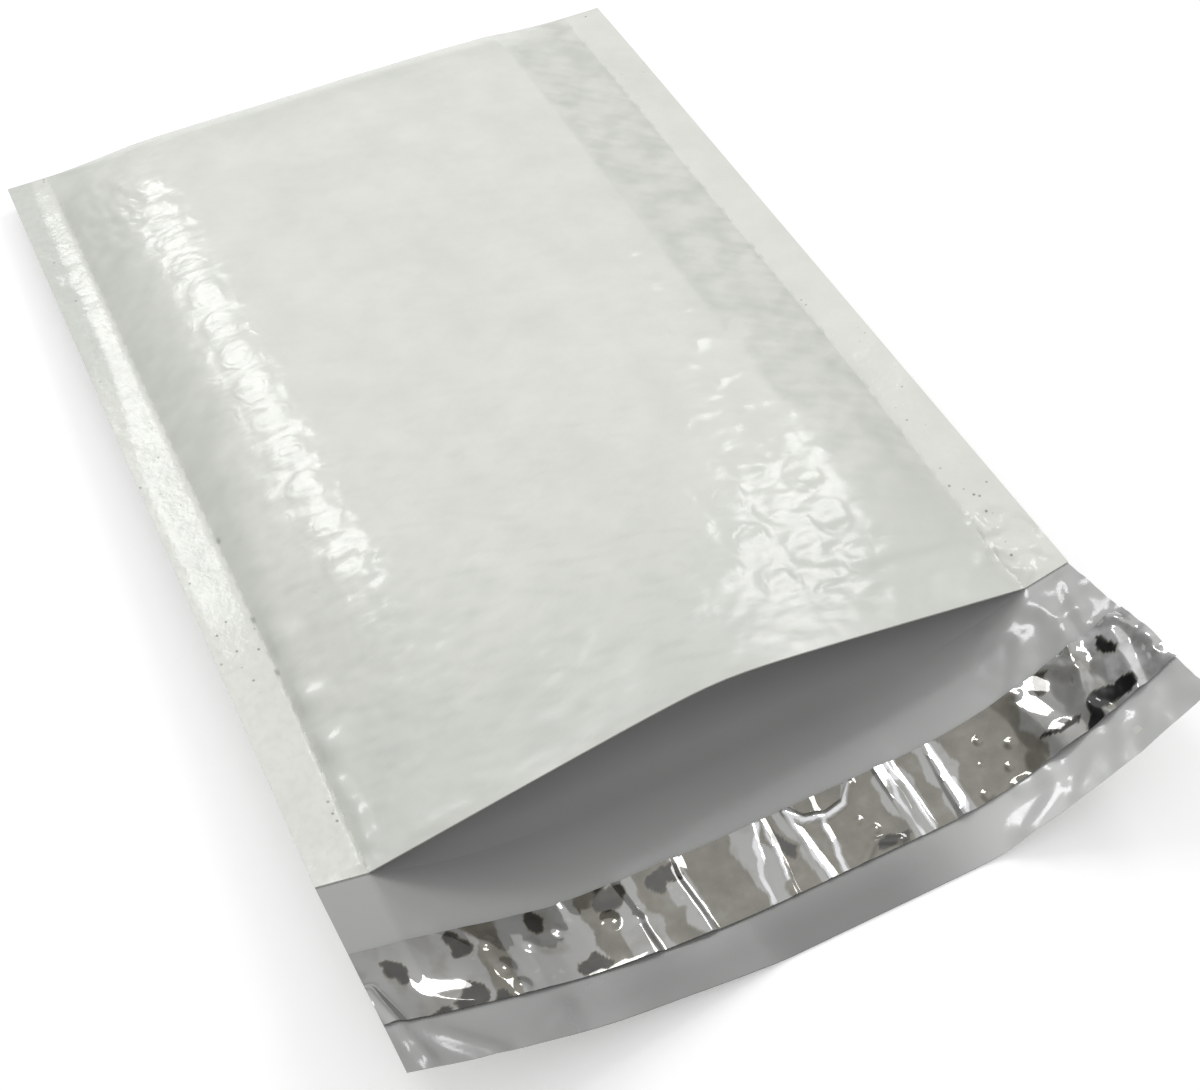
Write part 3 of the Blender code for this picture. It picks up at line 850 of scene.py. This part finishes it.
# Low-density polyethylene bubble web: thin clear film drawn into bubbles, milky where it overlaps
bubbleWeb = {
    "colours": ("#C6C9C9", "#AEB1B2"), "cloud": 6 * mm,
    "looks": {"IOR": 1.51, "Roughness": 0.22, "Alpha": 0.8},
}


def makeBubbleWeb():
    material, tree, shader, where = newMaterial("clear_bubble_web", bubbleWeb["looks"])
    cloud = addNode(tree, "TexNoise", {"Scale": 1 / bubbleWeb["cloud"], "Detail": 2.0}, {"Vector": where})
    low, high = (linear(code) for code in bubbleWeb["colours"])
    colour = addNode(tree, "Mix", {"data_type": "RGBA", 6: low, 7: high}, {0: cloud}, 2)
    linkShader(tree, shader, {"Base Color": colour})
    return material


# Pressure-sensitive hot-melt adhesive, slot-coated: always wet-looking, amber grey, with
# shallow coating ridges along the strip
hotMelt = {
    "colours": ("#7E7D74", "#6D6C64"), "ridge": 2.2 * mm, "ridgeLength": 5.0, "depth": 0.04 * mm,
    "looks": {"IOR": 1.48, "Roughness": 0.12},
}


def makeHotMelt():
    material, tree, shader, where = newMaterial("hot_melt_adhesive", hotMelt["looks"])
    stretched = addNode(tree, "Mapping", {"Scale": (1 / hotMelt["ridgeLength"], 1, 1)}, {"Vector": where})
    ridgeNoise = {"Scale": 1 / hotMelt["ridge"], "Detail": 2.0}
    ridges = addNode(tree, "TexNoise", ridgeNoise, {"Vector": stretched})
    low, high = (linear(code) for code in hotMelt["colours"])
    colour = addNode(tree, "Mix", {"data_type": "RGBA", 6: low, 7: high}, {0: ridges}, 2)
    bump = addNode(tree, "Bump", {"Strength": 1.0, "Distance": hotMelt["depth"]}, {"Height": ridges})
    linkShader(tree, shader, {"Base Color": colour, "Normal": bump})
    return material


# Siliconised release film, clear polyester: mirror-smooth. Film, air gap and adhesive each
# send back a reflection, given here as a part metallic sheen; it darkens where it wets out. The tone
# ramp also paints reflections: near white as the highlight along standing folds, and dark to near
# black where the film would mirror the dark of the room
releaseFilm = {
    "tones": (
        (0.0, "#F6F6F8"), (0.1, "#DEDEDE"), (0.18, "#B0B0AE"), (0.3, "#B0B0AE"), (0.5, "#878479"),
        (0.75, "#4D4C48"), (1.0, "#191918"),
    ),
    "dust": 4 * mm, "dustTone": (-0.04, 0.08),
    "looks": {
        "IOR": 1.65, "Roughness": 0.05, "Alpha": 0.9, "Metallic": 0.45,
        "Coat Weight": 1.0, "Coat IOR": 1.6, "Coat Roughness": 0.03,
    },
}


def makeReleaseFilm():
    material, tree, shader, where = newMaterial("clear_release_film", releaseFilm["looks"])
    # how the film sits, with its painted reflections and highlights, as a tone
    wet = addNode(tree, "Attribute", {"attribute_name": "wettingAndReflection"}, {}, "Fac")
    dust = addNode(tree, "TexNoise", {"Scale": 1 / releaseFilm["dust"], "Detail": 3.0}, {"Vector": where})
    least, most = releaseFilm["dustTone"]
    uneven = addNode(tree, "MapRange", {**noiseSpan, "To Min": least, "To Max": most}, {"Value": dust})
    amount = addNode(tree, "Math", {"operation": "ADD", "use_clamp": True}, {0: wet, 1: uneven})
    colour = addNode(tree, "ValToRGB", {}, {"Fac": amount}, "Color")
    tones = [(position, linear(code)) for position, code in releaseFilm["tones"]]
    fillStops(colour.node.color_ramp, tones)
    linkShader(tree, shader, {"Base Color": colour})
    return material


# Mesh spacing of the outer film's sheets, and the number of steps round its bottom folds
filmMesh = {
    "front": 0.62 * mm, "calm": 1.4 * mm, "frontRows": 0.69 * mm, "step": 0.4 * mm,
    "back": 2.8 * mm, "inside": 4.2 * mm, "lip": 0.9 * mm,
    "frontFold": 34, "backFold": 14, "innerFold": 10,
}


def toTheLeft(columns):
    return [-column for column in columns[::-1]]


# Columns from one side edge to the other, with one on each weld's inner edge
def filmColumns(spacing):
    side = steps(weld, half, spacing)[1:]
    return toTheLeft(side) + steps(-weld, weld, spacing) + side


def makeOuterFilm(white, grey):
    shell = newShell()
    body, reach, bend = pouch["body"], pouch["foldReach"], pouch["backFoldReach"]
    # closer together where the film steps down beside the weld, and where the bubbles show most
    stepStart, stepEnd = weld - 3.2 * mm, weld + 2.4 * mm
    side = steps(stepStart, stepEnd, filmMesh["step"])[1:] + steps(stepEnd, half, filmMesh["front"])[1:]
    columns = toTheLeft(side) + [-stepStart]
    for end, spacing in ((-40 * mm, "front"), (4 * mm, "calm"), (50 * mm, "front"), (stepStart, "calm")):
        columns += steps(columns[-1], end, filmMesh[spacing])[1:]
    columns += side
    frontRows = steps(0, body - reach, filmMesh["frontRows"])
    frontRows += foldRows(body - reach, body, reach, filmMesh["frontFold"])

    backRows = steps(0, body - bend, filmMesh["back"])
    backRows += foldRows(body - bend, body, bend, filmMesh["backFold"])
    lipRows = steps(-pouch["lip"], 0, filmMesh["back"])[:-1]
    insideColumns = steps(-weld, weld, filmMesh["inside"])
    insideRows = steps(0, body - bend, filmMesh["inside"])
    insideRows += foldRows(body - bend, body - pouch["film"], bend, filmMesh["innerFold"])
    lipColumns = filmColumns(filmMesh["lip"])
    lipInnerRows = steps(-pouch["lip"], 0, filmMesh["lip"])

    front = addSheet(shell, columns, frontRows, frontOuter, True)
    back = addSheet(shell, filmColumns(filmMesh["back"]), lipRows + backRows, backOuter, False)
    frontIn = addSheet(shell, insideColumns, insideRows, frontInner, False, 1)
    backIn = addSheet(shell, insideColumns, insideRows, backInner, True, 1)
    lipIn = addSheet(shell, lipColumns, lipInnerRows, backInner, True, 1)

    # the edge where front and back film are welded, then the cut edges
    mouth = len(lipRows)
    for edge, across in ((0, -half), (-1, half)):
        rows = np.array(backRows[1:-1])
        line = addLine(shell, np.full(len(rows), across), rows, seamHeight(rows))
        line = [lipIn[-1][edge], *line, back[-1][edge]]
        addBand(shell, line, back[mouth:, edge])
        addBand(shell, front[:, edge], line)
        addBand(shell, lipIn[:, edge], back[: mouth + 1, edge], 1)
    addBand(shell, front[-1], back[-1])
    addBand(shell, back[0], lipIn[0], 1)
    # at the mouth the lip's inner face meets the welds, and the pouch's inside between them
    left = [i for i, c in zip(lipIn[-1], lipColumns) if c < -weld - 0.01 * mm]
    right = [i for i, c in zip(lipIn[-1], lipColumns) if c > weld + 0.01 * mm]
    addBand(shell, front[0], [*left, *frontIn[0], *right])
    addBand(shell, lipIn[-1][len(left) : len(lipColumns) - len(right)], backIn[0], 1)
    piece = makePiece("outer_film_skin", shell, [white, grey])
    marks = {
        "filmPlace": None, "rings": ringStrength, "slack": slackness, "backingAndShade": backingAndShade,
        "welded": welded, "footDotted": footDotted, "lipLightAndShade": lipLightAndShade,
    }
    for name, measure in marks.items():
        markFilm(piece.data, name, measure)
    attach(piece, "root")
    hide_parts("outer_film")


lining = {
    "film": 0.5 * mm, "gap": 0.3 * mm, "sideGap": 1.5 * mm, "foldGap": 0.8 * mm,
    "hollowSide": 4.0 * mm, "hollowFold": 6.0 * mm,
    # the least share of the pouch's height that crowns, web and hollow keep where it is tight
    "crownShare": 0.75, "webShare": 0.35, "hollowShare": 0.2,
    "spacing": 1.35 * mm, "inside": 3.2 * mm, "taper": 12 * mm, "foldSteps": 14, "insideFoldSteps": 10,
}


def squeezed(swell, depth, least):
    return np.maximum(swell - depth, swell * least)


# One panel of the lining: its outer face with the bubbles, or the hollow between the panels
def liningFace(swell, reach, up, side, end, hollow):
    def shape(across, along):
        room = swell(across * weld / side, along)
        # the web comes down to the film along the mouth, where it is tacked to it
        deep = bubbles["height"] * ease((along - bubbles["start"]) / lining["taper"]) + lining["gap"]
        if hollow:
            rise = squeezed(room, deep + lining["film"], lining["hollowShare"])
        else:
            crown = squeezed(room, lining["gap"], lining["crownShare"])
            rise = mix(squeezed(room, deep, lining["webShare"]), crown, dome(across, along))
        return place(across, along, weldHeight(along) + up * rise * foldRound(along, end, reach))
    return shape


def makeLining(web):
    shell = newShell()
    outerSide, outerEnd = weld - lining["sideGap"], pouch["body"] - pouch["film"] - lining["foldGap"]
    innerSide, innerEnd = weld - lining["hollowSide"], pouch["body"] - lining["hollowFold"]
    start, bend = bubbles["start"], pouch["backFoldReach"]
    columns = steps(-outerSide, outerSide, lining["spacing"])
    rows = steps(start, outerEnd - bend, lining["spacing"])
    rows += foldRows(outerEnd - bend, outerEnd, bend, lining["foldSteps"])
    innerColumns = steps(-innerSide, innerSide, lining["inside"])
    innerRows = steps(start, innerEnd - bend, lining["inside"])
    innerRows += foldRows(innerEnd - bend, innerEnd, bend, lining["insideFoldSteps"])
    for swell, reach, up in ((frontSwell, pouch["foldReach"], 1), (backSwell, bend, -1)):
        outerFace = liningFace(swell, reach, up, outerSide, outerEnd, False)
        hollowFace = liningFace(swell, reach, up, innerSide, innerEnd, True)
        outer = addSheet(shell, columns, rows, outerFace, up > 0)
        inner = addSheet(shell, innerColumns, innerRows, hollowFace, up < 0)
        addBand(shell, outer[0], inner[0])
    piece = makePiece("bubble_web", shell, [web])
    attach(piece, "root")
    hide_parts("bubble_lining")


# Both strips follow the lip. Lift is the height of the underside over the lip's inner face
def makeStrip(name, node, settings, material, slack):
    shell = newShell()
    reach = half - settings["margin"]
    columns = steps(-reach, reach, settings["spacing"])
    rows = steps(-settings["start"] - settings["width"], -settings["start"], settings["spacing"])

    def level(top):
        def shape(across, along):
            base = lipLevel(across, along) + pouch["film"] + settings["lift"]
            return place(across, along, base + slack(across, along) + top)
        return shape

    low = addSheet(shell, columns, rows, level(0), False)
    high = addSheet(shell, columns, rows, level(settings["thickness"]), True)
    addBand(shell, low[0], high[0])
    addBand(shell, high[-1], low[-1])
    addBand(shell, high[:, 0], low[:, 0])
    addBand(shell, low[:, -1], high[:, -1])
    piece = makePiece(name, shell, [material])
    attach(piece, "root")
    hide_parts(node)
    return piece


adhesive = {
    "start": 18.5 * mm, "width": 13.5 * mm, "margin": 2.0 * mm, "lift": 0.05 * mm, "thickness": 0.25 * mm,
    "spacing": 1.1 * mm,
}
liner = {
    "start": 17.0 * mm, "width": 16.5 * mm, "margin": 0.0, "lift": 0.34 * mm, "thickness": 0.12 * mm,
    "spacing": 0.42 * mm, "calm": 0.13 * mm, "crumpled": 0.6 * mm, "fine": 0.04 * mm, "edgeShare": 0.4,
    # pleats across the strip in mm, each with a value at the pouch's side and at the free side:
    # place of the crest, width of its left face, width of its right face, and height, which
    # ends the pleat where it falls below 0
    "pleats": (
        ((-61.0, -56.5), (1.6, 2.0), (4.8, 5.2), (0.15, 0.25)),
        ((-51.5, -52.5), (4.0, 3.0), (5.4, 5.2), (0.2, 0.25)),
        ((-42.2, -40.5), (0.9, 0.9), (2.4, 1.0), (0.5, -1.0)),
        ((-31.0, -30.0), (11.0, 11.0), (1.2, 1.3), (0.5, 0.6)),
        ((-19.6, -18.6), (10.0, 10.0), (1.2, 1.2), (0.55, 0.6)),
        ((-18.8, -17.5), (0.9, 0.8), (2.4, 0.8), (0.45, -1.0)),
        ((-0.9, -5.6), (0.6, 0.8), (1.2, 1.5), (0.2, 0.25)),
        ((1.0, -0.6), (0.5, 0.6), (1.5, 1.7), (0.27, 0.3)),
        ((6.0, 7.0), (0.6, 0.7), (2.0, 2.2), (0.32, 0.35)),
        ((11.8, 10.4), (0.6, 0.8), (1.6, 1.9), (0.26, 0.3)),
        ((27.0, 27.6), (0.8, 0.7), (4.2, 1.6), (0.6, 0.24)),
        ((30.4, 31.0), (0.7, 0.6), (1.5, 1.5), (0.2, 0.2)),
        ((38.7, 37.4), (0.6, 0.9), (1.3, 3.4), (0.3, 0.82)),
        ((57, 59), (3.0, 2.0), (3.0, 5.0), (0.4, 0.8)), ((70.5, 67), (1.6, 2.0), (3.4, 3.0), (0.9, 0.3)),
        ((78.5, 75), (2.0, 2.0), (2.4, 2.0), (0.6, 1.0)),
    ),
    # curved folds: places, width and height in mm
    "folds": (
        (((6.5, -17.6), (9.0, -20.6), (13.5, -21.9), (18.0, -21.0), (21.2, -17.6)), 1.5, 0.28),
        (((15, -33.5), (19, -30.5), (24, -32.5)), 1.4, 0.3),
        (((66, -17), (69, -23), (66, -28), (69, -33)), 2.2, 0.6),
    ),
    # broad billows: place, half-sizes and height in mm
    "billows": (
        (-61.0, -21.0, 17.0, 12.0, 1.25), (62.0, -26.0, 7.0, 9.0, 1.0), (69.0, -24.0, 5.0, 5.0, 0.8),
        (60.5, -32.0, 5.0, 4.0, 0.6), (75.5, -23.0, 4.0, 6.0, 0.7),
    ),
    # air trapped under the film: place, radius and height in mm
    "blisters": (
        (-58.6, -21.7, 1.8, 0.4), (-57.9, -27.8, 2.0, 0.45), (-56.4, -32.0, 1.8, 0.4),
        (-51.2, -24.2, 1.8, 0.4), (-35.3, -24.4, 2.1, 0.45), (-30.1, -25.7, 1.4, 0.3),
        (-45.0, -22.5, 1.5, 0.3), (48.5, -22.0, 1.3, 0.3), (53.0, -26.0, 1.2, 0.25),
        (50.5, -30.0, 1.2, 0.25), (44.0, -32.4, 1.6, 0.35), (20.5, -28.5, 1.3, 0.3),
        (46.5, -26.5, 1.0, 0.2), (18.5, -25.5, 1.1, 0.2),
    ),
    # folds where the film stands off the adhesive, painted near white as the highlight along them: places
    # and width in mm
    "liftedGlints": (
        (((-0.3, -17.5), (-3.4, -25.0), (-5.4, -33)), 1.1), (((1.2, -17.5), (0.6, -24), (-0.2, -30)), 0.9),
        (((6.9, -17.5), (7.2, -25), (7.8, -33.5)), 1.3), (((12.4, -22.4), (11.6, -27), (10.8, -33.5)), 1.1),
        (((6.9, -17.5), (9.1, -20.6), (13.5, -21.9), (18.0, -21.0), (21.0, -17.2)), 1.2),
        (((28.6, -17), (28.3, -25), (28.4, -33.5)), 0.9), (((30.6, -17), (31.0, -25), (31.4, -33.5)), 0.8),
        (((28.3, -17.5), (31.0, -17.5), (29.8, -20.5)), 1.6),
        (((39.4, -17.2), (39.2, -24), (38.8, -33.0)), 1.0), (((39.6, -26.5), (39.0, -31.5)), 2.0),
    ),
    # stretches of the strip, in mm, that lie wetted out on the adhesive
    "wetted": (
        (-62, -56), (-40, -34.5), (-27, -21), (-17, -6), (-1, 5), (8, 26), (32, 36), (41, 58), (70, 74),
    ),
    # places where the film mirrors the dark of the room: centre and half-sizes in mm
    "dark": (
        (-48.5, -20.0, 3.0, 3.2), (-33.0, -19.5, 4.5, 2.6), (-21.5, -19.8, 4.2, 2.8),
        (-42.5, -31.8, 4.0, 2.2), (-64.0, -20.5, 1.5, 3.6), (-77.0, -22.5, 2.8, 2.8),
        (-72.0, -32.2, 3.5, 1.5), (-66.0, -31.2, 3.0, 2.2), (-60.3, -32.6, 2.2, 1.6),
        (22.0, -32.6, 4.0, 1.2), (2.5, -24.0, 2.0, 5.0), (64.0, -19.5, 3.0, 1.6),
    ),
    # painted reflection of the blackest part of the room, at the strip's right end: centre and half-sizes
    # in mm
    "black": (
        (71.5, -30.0, 4.8, 2.8), (67.0, -32.0, 3.4, 1.8), (75.5, -21.0, 2.0, 2.2), (61.5, -29.0, 4.2, 0.7),
    ),
    # how the film sits, as a tone: with air under it (least and how much more), wetted out on the
    # adhesive, as painted reflection of the dark room and of its blackest part, and clear at the
    # right end
    "air": (0.2, 0.12), "wet": 0.5, "darkTone": 0.75, "blackTone": 1.0, "clear": 0.12,
}


def noSlack(across, along):
    return 0.0 * across


# 1 at the strip's crumpled ends, 0 where it lies calm
def linerCrumple(across):
    left = np.maximum(0.12 * falling(across, -26, -12), 0.9 * falling(across, -79, -73))
    return np.maximum(left, rising(across, 64, 70))


# The release film is a little longer than the lip, so it buckles into flat facets and
# sharp pleats across it
def linerSlack(across, along):
    depth = share((-along - liner["start"]) / liner["width"])
    amount = mix(liner["calm"], liner["crumpled"], linerCrumple(across))
    total = amount * (1 + facets(across, along * 0.8, 11, 31))
    total = total + liner["fine"] * facets(across, along, 4.2, 34)
    total = total * mix(liner["edgeShare"], 1.0, np.sin(depth * math.pi) ** 0.7)
    for count, (crest, left, right, height) in enumerate(liner["pleats"]):
        wander = 0.4 * unevenness(0.013 * count + 0 * across, along, 8, 35)
        off = across - (mix(*crest, depth) + wander) * mm
        side = np.where(off < 0, mix(*left, depth), mix(*right, depth)) * mm
        total = total + np.maximum(mix(*height, depth), 0) * mm * share(1 - np.abs(off) / side)
    total = total + folded(across, along, liner["folds"])
    blisters = [(x, y, radius, radius, height) for x, y, radius, height in liner["blisters"]]
    for x, y, wide, long, height in (*blisters, *liner["billows"]):
        off = np.hypot((across - x * mm) / wide, (along - y * mm) / long) / mm
        total = total + height * mm * share(1 - off**2)
    return total


# How the strip's film sits, as a tone with painted reflections: 0, a painted highlight, where it stands up
# in a fold; the dark and black patches are painted reflections of the room; else as its settings say
def wettingAndReflection(across, along):
    drift = 1.6 * mm * facets(across, along, 3.2, 51) + 0.7 * mm * unevenness(across, along, 4, 54, 2)
    drop = 1.5 * mm * facets(across, along, 3.0, 53)
    least, more = liner["air"]
    total = least + more * share(0.5 + 1.5 * unevenness(across, along, 7, 52, 2))
    for start, end in liner["wetted"]:
        inside = np.minimum(across + drift - start * mm, end * mm - across - drift)
        total = np.maximum(total, liner["wet"] * rising(inside, -0.5, 0.5))
    for patches in ("dark", "black"):
        for x, y, wide, high in liner[patches]:
            sideways = np.abs(across + drift - x * mm) / wide
            lengthways = np.abs(along + drop - y * mm) / high
            off = (0.5 * (sideways + lengthways) + 0.6 * np.maximum(sideways, lengthways)) / mm
            total = np.maximum(total, liner[patches + "Tone"] * ease((1.15 - off) / 0.26))
    # clear and slack at the right end, past the dark patches
    total = mix(total, np.minimum(total, liner["clear"]), rising(across, 69, 74) * (total < 0.6))
    for places, width in liner["liftedGlints"]:
        near = ridge(across + 0.35 * drift, along, places, 0.75 * width)
        total = total * (1 - ease(near / 0.6))
    return total


# The camera's three directions and its spot, solved from the photo's perspective; the sensor
# and the lens are in millimetres
photoCamera = {
    "right": (0.89807, -0.43972, -0.01063), "up": (0.356, 0.71247, 0.60469),
    "back": (-0.25832, -0.54684, 0.79639), "spot": (-93.58 * mm, -236.2 * mm, 298.28 * mm),
    "sensor": 36.0, "lens": 52.47, "nearest": 0.01,
}


def setCamera():
    data = bpy.data.cameras.new("photo_camera")
    data.sensor_width, data.lens = photoCamera["sensor"], photoCamera["lens"]
    data.clip_start = photoCamera["nearest"]
    camera = addObject("photo_camera", data)
    turn(camera, *(photoCamera[name] for name in ("right", "up", "back", "spot")))
    bpy.context.scene.camera = camera


studio = {
    "floor": ("#F7F7F7", "#F4F4F4"), "floorCloud": 125 * mm, "floorSize": 6.0, "floorLift": 0.16,
    "sky": {"To Min": 0.28, "To Max": 0.99},      # light of the room, level and overhead
    # direction from the object, width and height seen from it, and radiance
    "boxes": {
        "shoulder_softbox": ((-0.20, 0.69, 0.69), (0.20, 0.44), 6.5),
        "right_softbox": ((0.58, 0.36, 0.71), (0.21, 0.27), 6.5),
    },
    "distance": 1.2,
    # what glossy film mirrors of the room: it is dark behind the camera and to the left. For each
    # side, the direction's y or x where it is darkest and where it is full, and the least light
    "cameraSide": {"From Min": -0.45, "From Max": 0.25, "To Min": 0.2},
    "leftSide": {"From Min": -0.6, "From Max": -0.2, "To Min": 0.2},
}


def makeFloor():
    size = studio["floorSize"] / 2
    data = bpy.data.meshes.new("floor")
    corners = [(-size, -size, 0), (size, -size, 0), (size, size, 0), (-size, size, 0)]
    data.from_pydata(corners, [], [(0, 1, 2, 3)])
    floor = addObject("floor", data)
    looks = {"Roughness": 0.7, "Specular IOR Level": 0.2, "Emission Color": (1, 1, 1, 1)}
    material, tree, shader, where = newMaterial("painted_table", looks)
    cloud = addNode(tree, "TexNoise", {"Scale": 1 / studio["floorCloud"]}, {"Vector": where})
    low, high = (linear(code) for code in studio["floor"])
    colour = addNode(tree, "Mix", {"data_type": "RGBA", 6: low, 7: high}, {0: cloud}, 2)
    # the camera sees the lit floor a little paler, shadows included
    seen = addNode(tree, "LightPath", {}, {}, "Is Camera Ray")
    lift = addNode(tree, "Math", {"operation": "MULTIPLY", 1: studio["floorLift"]}, {0: seen})
    linkShader(tree, shader, {"Base Color": colour, "Emission Strength": lift})
    data.materials.append(material)


def makeLamps():
    distance = studio["distance"]
    for name, (direction, (width, height), radiance) in studio["boxes"].items():
        lamp = bpy.data.lights.new(name, "AREA")
        lamp.shape = "RECTANGLE"
        lamp.size, lamp.size_y = width * distance, height * distance
        lamp.energy = radiance * math.pi * lamp.size * lamp.size_y
        back = np.array(direction) / np.linalg.norm(direction)
        side = np.cross((0, 0, 1), back)
        side = side / np.linalg.norm(side)
        turn(addObject(name, lamp), side, np.cross(back, side), back, back * distance)


def makeRoom():
    world = bpy.data.worlds.new("studio")
    bpy.context.scene.world = world
    world.use_nodes = True
    tree = world.node_tree
    seen = addNode(tree, "LightPath", {}, {}, "Is Camera Ray")
    glossy = addNode(tree, "LightPath", {}, {}, "Is Glossy Ray")
    way = addNode(tree, "TexCoord", {}, {}, "Generated")
    parts = addNode(tree, "SeparateXYZ", {}, {"Vector": way}).node.outputs
    # brighter overhead than at the sides, as under a studio ceiling
    shares = []
    for part, name in (("Z", "sky"), ("X", "leftSide"), ("Y", "cameraSide")):
        settings = {**studio[name], "interpolation_type": "SMOOTHSTEP"}
        shares.append(addNode(tree, "MapRange", settings, {"Value": parts[part]}))
    sky, left, nearCamera = shares
    shaded = addNode(tree, "Math", {"operation": "MULTIPLY"}, {0: left, 1: nearCamera})
    room = addNode(tree, "Math", {"operation": "MULTIPLY"}, {0: sky, 1: shaded})
    mirrored = addNode(tree, "Mix", {}, {0: glossy, 2: sky, 3: room})
    strength = addNode(tree, "Mix", {3: 1.0}, {0: seen, 2: mirrored})
    background = tree.nodes["Background"]
    background.inputs["Color"].default_value = (1, 1, 1, 1)
    tree.links.new(strength, background.inputs["Strength"])


def main():
    bpy.context.scene.view_settings.view_transform = "Standard"
    setCamera()
    makeFloor()
    makeLamps()
    makeRoom()
    print("camera and studio set")
    makeOuterFilm(makeWhiteFilm(), makeGreyFilm())
    makeLining(makeBubbleWeb())
    makeStrip("adhesive_bead", "adhesive_strip", adhesive, makeHotMelt(), noSlack)
    film = makeStrip("liner_film", "release_liner", liner, makeReleaseFilm(), linerSlack)
    markFilm(film.data, "wettingAndReflection", wettingAndReflection)


main()
